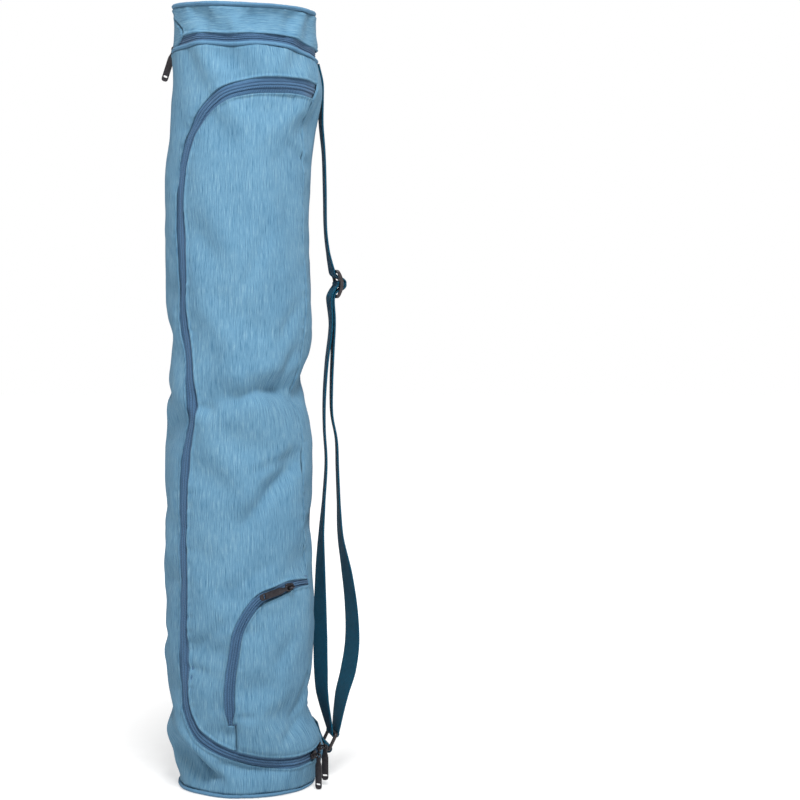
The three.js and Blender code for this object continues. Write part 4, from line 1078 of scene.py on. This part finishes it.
# %% Plates and wires
def rounded(width, height, radius, steps=8):
    """A rounded oblong round the origin, anticlockwise."""
    points = []
    for k, (x, y) in enumerate(((1, 1), (-1, 1), (-1, -1), (1, -1))):
        for a in np.linspace(k * math.pi / 2, (k + 1) * math.pi / 2, steps + 1):
            points.append((x * (width / 2 - radius) + radius * math.cos(a),
                           y * (height / 2 - radius) + radius * math.sin(a)))
    return points


def plate(outlines, thickness, bevel, rounds=3):
    """Points and faces of a flat part: an outline, then its holes, with bevelled edges."""
    curve = bpy.data.curves.new("outline", "CURVE")
    curve.dimensions = "2D"
    curve.fill_mode = "BOTH"
    curve.extrude = thickness / 2 - bevel
    curve.bevel_depth = bevel
    curve.bevel_resolution = rounds
    curve.offset = -bevel
    for outline in outlines:
        spline = curve.splines.new("POLY")
        spline.points.add(len(outline) - 1)
        spline.points.foreach_set("co", [c for x, y in outline for c in (x, y, 0, 1)])
        spline.use_cyclic_u = True
    holder = bpy.data.objects.new("outline", curve)
    mesh = bpy.data.meshes.new_from_object(holder)
    shape = bmesh.new()
    shape.from_mesh(mesh)
    bmesh.ops.remove_doubles(shape, verts=shape.verts, dist=0.002)
    bmesh.ops.recalc_face_normals(shape, faces=shape.faces)
    points = np.array([tuple(v.co) for v in shape.verts])
    faces = [tuple(v.index for v in face.verts) for face in shape.faces]
    shape.free()
    bpy.data.objects.remove(holder)
    bpy.data.meshes.remove(mesh)
    bpy.data.curves.remove(curve)
    return points, faces


def wire(path, radius, sides=10):
    """Points and faces of a round wire along a path in the X-Z plane."""
    path = np.array(path, float)
    ahead = np.gradient(path, axis=0)
    ahead /= np.linalg.norm(ahead, axis=1, keepdims=True)
    across = np.array([0, 1.0, 0])
    other = np.cross(across, ahead)
    a = np.arange(sides)[:, None] * 2 * math.pi / sides
    points = path[:, None] + radius * (np.cos(a) * across + np.sin(a) * other[:, None])
    faces = grid_faces(len(path), sides, False, True)
    last = (len(path) - 1) * sides
    faces += [tuple(range(sides))[::-1], tuple(last + i for i in range(sides))]
    return points.reshape(-1, 3), faces


def together(*parts):
    """Several lists of points and faces as one."""
    points, faces = [], []
    for more, shapes in parts:
        offset = sum(len(p) for p in points)
        points.append(more)
        faces += [tuple(i + offset for i in shape) for shape in shapes]
    return np.vstack(points), faces


def fit(name, part, place_at, x, y, z):
    """A hard part made in its own frame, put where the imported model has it."""
    points, faces = part
    frame_axes = np.array([x, y, z])
    piece = make(name, np.array(place_at) + points @ frame_axes, faces, points)
    piece.data.set_sharp_from_angle(angle=math.radians(40))
    print(name, "faces:", len(faces))
    return piece


# %% Ring and adjuster
slot_width = STRAP_WIDTH + 2 * STRAP_SLACK
ring = plate([rounded(slot_width + 2 * RING_BAR, RING_SPAN + RING_BAR, RING_BAR),
              rounded(slot_width, RING_SPAN - RING_BAR, 1.2)], RING_BAR, 1.0, 4)
ring_up = math.sin(ring_lean) * strap_out + math.cos(ring_lean) * up
ring_middle = (ring_top + ring_bottom) / 2
fit("oblong_ring", ring, ring_middle[0] * strap_out + ring_middle[1] * up, strap_across, ring_up,
    np.cross(strap_across, ring_up))


def adjuster_part():
    """Two bowed rails and three bars, drawn flat with two slots and then bowed."""
    tall = SPAN + BAR
    slot = SPAN - 2 * BAR
    frame_outline = rounded(slot_width + 2 * RAIL, 2 * tall, 2.4)
    slots = [[(x, y + side * SPAN / 2) for x, y in rounded(slot_width, slot, 0.8, 4)] for side in (1, -1)]
    sides = [(s * (slot_width / 2 + RAIL), y) for s in (1, -1) for y in np.linspace(-s, s, 9) * (tall - 3)]
    middle = len(frame_outline) // 4
    outline = frame_outline[-middle:] + sides[:9] + frame_outline[:2 * middle] + sides[9:] + frame_outline[
        2 * middle:-middle]
    points, faces = plate([outline, *slots], 2 * BAR, 0.75, 4)
    bowed = BOW * (1 - (points[:, 1] / SPAN) ** 2) - BOW
    return np.stack([points[:, 2] + bowed, points[:, 1], -points[:, 0]], axis=-1), faces


fit("strap_slide", adjuster_part(), adjuster_out * strap_out + adjuster_z * up, strap_out, up,
    np.cross(strap_out, up))

# %% Shapes of the sliders and pulls
SLIDER_HEIGHT, WIRE_RADIUS, ARCH, FOOT = 1.8, 0.7, 3.1, 1.2
PULL_LENGTH, PULL_WIDTH, PULL_NECK, PULL_THICKNESS, EYE, EYE_RIM = 31, 6.2, 3.6, 1.8, 1.6, 1.1
SLIDER_SIDE = [(4.5, 1.7), (3.9, 3.1), (2.6, 3.7), (0.8, 3.5), (-2.6, 2.7), (-4.1, 2.2), (-4.5, 1.4)]
SLIDER_OUTLINE = [(4.5, -1.7), *SLIDER_SIDE, *((x, -y) for x, y in SLIDER_SIDE[:0:-1])]


def slider_part():
    body, body_faces = plate([even_line(smooth_line(SLIDER_OUTLINE + SLIDER_OUTLINE[:1], 6), 0.5)[:-1]],
                             SLIDER_HEIGHT, 0.45)
    body = body + (0, 0, SLIDER_HEIGHT / 2)
    spine, spine_faces = plate([rounded(7.4, 2.2, 1.0, 5)], 0.9, 0.35)
    spine = spine + (0, 0, SLIDER_HEIGHT + 0.2)
    arch_z = SLIDER_HEIGHT + FOOT
    turns = np.linspace(math.pi, 0, 22)
    arch = [(-ARCH, 0, 1.2), (-ARCH, 0, arch_z - 0.5)]
    arch += [(ARCH * math.cos(a), 0, arch_z + ARCH * math.sin(a)) for a in turns]
    arch += [(ARCH, 0, arch_z - 0.5), (ARCH, 0, 1.2)]
    return together((body, body_faces), (spine, spine_faces), wire(arch, WIRE_RADIUS))


def pull_part():
    """A flat pull that hangs from its eye at the origin."""
    rim = EYE + EYE_RIM
    right = [(rim * math.sin(a), rim * math.cos(a)) for a in np.linspace(0, math.radians(125), 14)]
    tip = -PULL_LENGTH
    half = PULL_WIDTH / 2
    right += [(PULL_NECK / 2, -3.6), (PULL_NECK / 2 + 0.1, -5.2), (half - 0.35, -7.6), (half, -10),
              (half, -20), (half, tip + 2.4), (half - 0.5, tip + 0.9), (half - 1.6, tip + 0.15), (0, tip)]
    outline = [(-x, y) for x, y in right[1:-1]] + right[::-1]
    eye = [(EYE * math.cos(a), EYE * math.sin(a)) for a in np.arange(20) * 2 * math.pi / 20]
    slot = [(x, y + tip + 4.6) for x, y in rounded(4.4, 1.7, 0.8, 5)]
    body = plate([outline, eye, slot], PULL_THICKNESS, 0.4)
    pad = [(x, y - 16.5) for x, y in rounded(3.6, 13, 1.2, 6)]
    return together(body, plate([pad], PULL_THICKNESS + 0.5, 0.4))


print("faces of a slider and of a pull:", len(slider_part()[1]), len(pull_part()[1]))

# %% Where the sliders and pulls sit
MAIN_SLIDERS, POCKET_SLIDER, LID_SLIDER_ANGLE = {"lower": 0.962, "upper": 0.98}, 0.25, 251
LID_PULL_LEAN, POCKET_PULL_LEAN = 20, 7
TAPE_THICKNESS = 1.5
POCKET_TAPE_TOP = GAP + TAPE_THICKNESS
joints = {joint["child"]: joint for joint in frame["joints"]}


def unit(vector):
    return vector / np.linalg.norm(vector)


def spot_on(line, share):
    """The angle, the height and the climb of a zipper at a share of its length."""
    at = share * (len(line) - 1)
    s, z, ahead, rising = (
        float(np.interp(at, np.arange(len(line)), column)) for column in (*line.T, *ways(line).T)
    )
    return float(to_angle(s)), z, math.atan2(rising, ahead)


def slider_frame(angle, z, climb=0.0, lift=0.0):
    """A slider's place on the wall, the way its zipper runs there, and the way out of the wall."""
    side = to_angle(1.0)
    round_way = wall(angle + side, z) - wall(angle - side, z)
    out = unit(np.cross(round_way, wall(angle, z + 1) - wall(angle, z - 1)))
    a = math.radians(angle)
    run = math.cos(climb) * np.array([math.cos(a), math.sin(a), 0]) + math.sin(climb) * up
    return wall(angle, z, lift + GAP), unit(run - (run @ out) * out), out


def turns_about(name):
    """The place, in millimetres, and the direction of the axis that a pull turns about."""
    return np.array(joints[name]["pos_m"]) / MM, np.array(joints[name]["axis"], float)


def hanging_pull(name, lean=0):
    """A pull's place and its X and Y directions as it hangs on its axis, leaning off the wall."""
    place_at, axis = turns_about(name)
    tilt = math.radians(lean)
    y = math.cos(tilt) * up - math.sin(tilt) * np.cross(up, axis)
    return place_at, np.cross(y, -axis), y


def lying_pull(name, run, out):
    """The same for a pull that lies back along its zipper, its eye round the foot of the wire."""
    place_at, axis = turns_about(name)
    tilt = math.radians(POCKET_PULL_LEAN)
    return place_at + ARCH * run, -axis, math.sin(tilt) * out - math.cos(tilt) * run


lid_spot = LID_SLIDER_ANGLE, seam_height(LID_SLIDER_ANGLE) + tape_low + lid_half
sliders = {
    "main_slider_lower": slider_frame(*spot_on(main_line, MAIN_SLIDERS["lower"])),
    "main_slider_upper": slider_frame(*spot_on(main_line, MAIN_SLIDERS["upper"])),
    "lid_slider": slider_frame(*lid_spot),
    "pocket_slider": slider_frame(*spot_on(pocket_line, POCKET_SLIDER), POCKET_TAPE_TOP),
}
pulls = {
    "main_pull_lower": hanging_pull("main_pull_lower"),
    "main_pull_upper": hanging_pull("main_pull_upper"),
    "lid_pull": hanging_pull("lid_pull", LID_PULL_LEAN),
    "pocket_pull": lying_pull("pocket_pull", *sliders["pocket_slider"][1:]),
}
for name, (middle, x, z) in sliders.items():
    fit(name + "_metal", slider_part(), middle, x, np.cross(z, x), z)
for name, (middle, x, y) in pulls.items():
    fit(name + "_metal", pull_part(), middle, x, y, np.cross(x, y))

# %% [markdown]
# ## Finishes
# Shader maths is easier to read as arithmetic than as a picture of nodes. One small class wraps a node's
# output, so that adding or multiplying two of them adds a Math node. Each finish reads the thread
# directions that every piece carries, in millimetres, so a weave has the same scale everywhere and follows
# the cloth.

# %% Shader arithmetic
class Value:
    """An output of a node. Arithmetic on it adds Math nodes."""

    def __init__(self, nodes, socket):
        self.nodes, self.socket = nodes, socket

    def math(self, operation, *values):
        return self.nodes.node("ShaderNodeMath", {"operation": operation}, dict(enumerate(values)))

    def __add__(self, other):
        return self.math("ADD", self, other)

    def __sub__(self, other):
        return self.math("SUBTRACT", self, other)

    def __rsub__(self, other):
        return self.math("SUBTRACT", other, self)

    def __mul__(self, other):
        return self.math("MULTIPLY", self, other)

    def wave(self, length):
        """A wave from -1 to 1 that repeats at a length."""
        return self.math("SINE", self * (2 * math.pi / length))

    def size(self):
        return self.math("ABSOLUTE", self)

    def between(self, low, high):
        """From 0 at low to 1 at high, and no further."""
        return self.nodes.node("ShaderNodeMapRange", {"interpolation_type": "SMOOTHSTEP"},
                               {"Value": self, "From Min": low, "From Max": high})

    __radd__ = __add__
    __rmul__ = __mul__


class Nodes:
    """The nodes of a material or of the world."""

    def __init__(self, tree):
        self.tree = tree

    def plug(self, value, socket):
        if isinstance(value, Value):
            self.tree.links.new(value.socket, socket)
        else:
            socket.default_value = value

    def node(self, kind, settings, inputs, output=0):
        made = self.tree.nodes.new(kind)
        for key, value in settings.items():
            setattr(made, key, value)
        for key, value in inputs.items():
            self.plug(value, made.inputs[key])
        return Value(self, made.outputs[output])

    def noise(self, x, y, z=0.0, detail=2.0, roughness=0.5):
        """Noise around 0, stretched as its coordinates are."""
        at = self.node("ShaderNodeCombineXYZ", {}, {"X": x, "Y": y, "Z": z})
        made = self.node("ShaderNodeTexNoise", {}, {"Vector": at, "Scale": 1.0, "Detail": detail,
                                                    "Roughness": roughness})
        return made * 2.0 - 1.0

    def mix(self, factor, first, second):
        return self.node("ShaderNodeMix", {"data_type": "RGBA"}, {0: factor, 6: first, 7: second}, 2)

    def bump(self, height, distance, strength=1.0):
        return self.node("ShaderNodeBump", {}, {"Height": height, "Distance": distance, "Strength": strength})


class Finish(Nodes):
    """A material in the making."""

    def __init__(self, name, settings):
        self.material = bpy.data.materials.new(name)
        self.material.use_nodes = True
        super().__init__(self.material.node_tree)
        self.shader = self.tree.nodes["Principled BSDF"]
        self.feed(settings)

    def feed(self, settings):
        """Values or links for the shader's sockets."""
        for key, value in settings.items():
            self.plug(value, self.shader.inputs[key])

    def threads(self):
        """The thread directions, as three values in millimetres."""
        vector = self.node("ShaderNodeAttribute", {"attribute_name": "thread"}, {}, "Vector")
        return [self.node("ShaderNodeSeparateXYZ", {}, {"Vector": vector}, axis) for axis in "XYZ"]

    def shade(self):
        return self.node("ShaderNodeAttribute", {"attribute_name": "shade"}, {}, "Fac")


def srgb(red, green, blue):
    """A colour as a screen shows it, from 0 to 255, as light."""
    return (*(((c / 255 + 0.055) / 1.055) ** 2.4 for c in (red, green, blue)), 1)


print("a mid grey as light:", round(srgb(128, 128, 128)[0], 3))

# %% [markdown]
# The cloth is a heather: its yarns are spun from lighter and darker fibres, which show as fine streaks
# along the bag. Long thin noise makes them, at two widths, over a plain weave in the bump.

# %% Heathered cloth
def heather(name, dark, middle, light, streak=1.0):
    f = Finish(name, {
        "Roughness": 0.92, "Sheen Weight": 0.03, "Sheen Roughness": 0.5, "Specular IOR Level": 0.12,
    })
    x, y, z = f.threads()
    wide = f.noise(x * 1.3, y * 0.028, 0.0, 3.0, 0.65)
    fine = f.noise(x * 2.5, y * 0.1, 7.0, 2.0, 0.6)
    slub = f.noise(x * 2.2, y * 1.6, 13.0, 1.0)
    cloudy = f.noise(x * 0.02, y * 0.014, 3.0, 2.0)
    tone = (wide * 1.2 + fine * 1.5 + cloudy * 0.3) * streak
    colour = f.mix(tone.between(-0.8, 0.05), dark, middle)
    colour = f.mix((tone + slub * 0.5).between(0.0, 1.0), colour, light)
    # Painted shade: where the shade attribute is set, the cloth is mixed towards a darker blue.
    colour = f.mix(f.shade() * 0.3, colour, tuple(0.5 * c for c in dark[:3]) + (1,))
    weave = x.wave(0.9) * y.wave(0.9)
    relief = weave * 0.5 + fine * 0.8 + wide * 0.9
    f.feed({"Base Color": colour, "Normal": f.bump(relief, 0.00012, 0.8)})
    return f.material


body_cloth = heather("body_cloth", srgb(61, 99, 127), srgb(86, 125, 150), srgb(117, 151, 169))
piping_cloth = heather("piping_cloth", srgb(60, 97, 128), srgb(80, 118, 146), srgb(100, 136, 160), 0.7)
print("cloth finishes:", body_cloth.name, piping_cloth.name)


# %% Zipper tape, webbing and hard parts
def ribbed_tape():
    f = Finish("zipper_tape", {"Roughness": 0.78, "Sheen Weight": 0.08, "Specular IOR Level": 0.3})
    across, run, z = f.threads()
    slant = (run + across.size() * 0.55).wave(1.5)
    yarn = f.noise(across * 2.2, run * 0.5, 0.0, 2.0)
    tone = slant * 0.3 + yarn * 0.7
    colour = f.mix(tone.between(-0.8, 0.8), srgb(42, 76, 108), srgb(70, 106, 138))
    # Painted shade in the tape's grooves and middle, from the shade attribute.
    colour = f.mix(f.shade() * 0.6, colour, srgb(28, 44, 72))
    f.feed({"Base Color": colour, "Normal": f.bump(slant + yarn * 0.6, 0.00016)})
    return f.material


def woven_strap():
    f = Finish("webbing", {"Roughness": 0.85, "Sheen Weight": 0.02, "Specular IOR Level": 0.15})
    across, run, z = f.threads()
    ribs = across.wave(1.56)
    weft = (run + ribs * 0.25).wave(1.3)
    yarn = f.noise(across * 1.4, run * 0.35, 0.0, 2.0)
    tone = weft * 0.25 + yarn * 0.7
    colour = f.mix(tone.between(-0.8, 0.8), srgb(0, 58, 80), srgb(14, 86, 112))
    # Painted shade along the strap's edges, from the shade attribute.
    colour = f.mix(f.shade() * 0.25, colour, srgb(2, 34, 50))
    f.feed({"Base Color": colour, "Normal": f.bump(weft * 0.7 + ribs * 0.8 + yarn * 0.4, 0.0002)})
    return f.material


def hard(name, low, high, metallic, roughness, grain):
    """Cast or moulded parts: two close colours, and a gloss that changes a little."""
    f = Finish(name, {"Metallic": metallic, "Specular IOR Level": 0.5})
    x, y, z = f.threads()
    cloudy = f.noise(x * 0.35, y * 0.35, z * 0.35, 3.0)
    speck = f.noise(x * grain, y * grain, z * grain, 2.0)
    colour = f.mix((cloudy + speck * 0.4).between(-0.7, 0.7), low, high)
    f.feed({"Base Color": colour, "Roughness": cloudy * 0.1 + speck * 0.06 + roughness,
            "Normal": f.bump(speck, 0.00003, 0.6)})
    return f.material


finishes = {
    "body_cloth": body_cloth, "piping_cloth": piping_cloth,
    "zipper_tape": ribbed_tape(), "webbing": woven_strap(),
    "black_metal": hard("black_metal", srgb(26, 24, 28), srgb(52, 48, 52), 0.6, 0.42, 3.0),
    "black_plastic": hard("black_plastic", srgb(24, 19, 21), srgb(42, 34, 36), 0.0, 0.45, 2.0),
}
print("finishes:", list(finishes))

# %% [markdown]
# ## Sky and floor
# A pale world lights the bag most from the level of the horizon. The bag stands on a plain pale sweep of
# paper, which catches its soft shadow. The paper also glows with painted light, more with distance, so that
# it meets the white around it; its weaker glow near the bag paints a soft shade round the bag's foot.

# %% Sky
HORIZON_LIGHT, SKY_LIGHT = 1.0, 0.25
FADE_START, FADE_END = 0.15, 0.3
world = bpy.data.worlds.new("studio")
world.use_nodes = True
sky = Nodes(world.node_tree)
direction = sky.node("ShaderNodeTexCoord", {}, {}, "Generated")
height = sky.node("ShaderNodeSeparateXYZ", {}, {"Vector": direction}, "Z")
brightness = sky.node("ShaderNodeMapRange", {}, {
    "Value": height, "From Min": FADE_START, "From Max": FADE_END,
    "To Min": HORIZON_LIGHT, "To Max": SKY_LIGHT,
})
background = world.node_tree.nodes["Background"]
sky.plug(brightness, background.inputs["Strength"])
sky.plug((1, 1, 1, 1), background.inputs["Color"])
scene.world = world
print("world:", world.name)

# %% Floor
FLOOR_HALF = 6
NEAR, FAR = 0.1, 0.6
# The floor's glow is painted light that also lights the bag from below; GLOW_NEAR, weaker than GLOW_FAR,
# paints a soft shade round the bag's foot.
PAPER_DARK, PAPER_LIGHT, GLOW_NEAR, GLOW_FAR = ((tone, tone, tone, 1) for tone in (0.34, 0.38, 0.74, 1.15))
PAPER_GRAIN = 60.0
FLOOR_GLOW = 0.8
floor_finish = Finish("floor_paper", {"Roughness": 0.95, "Specular IOR Level": 0.1,
                                      "Emission Color": (1, 1, 1, 1), "Emission Strength": FLOOR_GLOW})
floor_x = floor_finish.node("ShaderNodeNewGeometry", {}, {}, "Position")
grain = floor_finish.node("ShaderNodeTexNoise", {}, {"Vector": floor_x, "Scale": PAPER_GRAIN})
away = floor_finish.node("ShaderNodeVectorMath", {"operation": "LENGTH"}, {0: floor_x}, "Value")
floor_finish.feed({
    "Base Color": floor_finish.mix(grain, PAPER_DARK, PAPER_LIGHT),
    "Emission Color": floor_finish.mix(away.between(NEAR, FAR), GLOW_NEAR, GLOW_FAR),
})
floor_mesh = bpy.data.meshes.new("floor")
floor_corners = [(x * FLOOR_HALF, y * FLOOR_HALF, 0) for x, y in ((-1, -1), (1, -1), (1, 1), (-1, 1))]
floor_mesh.from_pydata(floor_corners, [], [(0, 1, 2, 3)])
floor_mesh.materials.append(floor_finish.material)
floor = bpy.data.objects.new("floor", floor_mesh)
scene.collection.objects.link(floor)
print("floor, m wide:", 2 * FLOOR_HALF)

# %% [markdown]
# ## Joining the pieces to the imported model
# Each piece replaces the plain solid that it stands for, rides on the body that moves it, and takes its
# finish from a named slot. Only the zipper pulls move; all else rides on the bag.

# %% Rides, replaced nodes and slots
SEWN = {
    "body_wrap_cloth": ("body_wrap", "body_cloth"), "strap_panel_cloth": ("strap_panel", "body_cloth"),
    "front_flap_cloth": ("front_flap", "body_cloth"), "pocket_cloth": ("pocket_panel", "body_cloth"),
    "base_cloth": ("base_panel", "body_cloth"), "lid_band_cloth": ("lid_band", "body_cloth"),
    "lid_hinge_cloth": ("lid_hinge", "body_cloth"), "lid_top_cloth": ("lid_top", "body_cloth"),
    "base_cord": ("base_piping", "piping_cloth"), "seam_cord": ("seam_piping", "piping_cloth"),
    "rim_cord": ("rim_piping", "piping_cloth"), "main_zipper_tape": ("main_zipper", "zipper_tape"),
    "pocket_zipper_tape": ("pocket_zipper", "zipper_tape"), "lid_zipper_tape": ("lid_zipper", "zipper_tape"),
    "shoulder_strap": ("strap_webbing", "webbing"), "ring_tab_webbing": ("ring_tab", "webbing"),
    "oblong_ring": ("strap_ring", "black_plastic"), "strap_slide": ("strap_adjuster", "black_plastic"),
}
SEWN.update({name + "_metal": (name, "black_metal") for name in (*sliders, *pulls)})
for name, piece in pieces.items():
    node, slot = SEWN[name]
    body = node if node in pulls else "bag"
    piece.data.materials.append(finishes[slot])
    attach(piece, body)
    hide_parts(node)
print("pieces:", len(pieces))
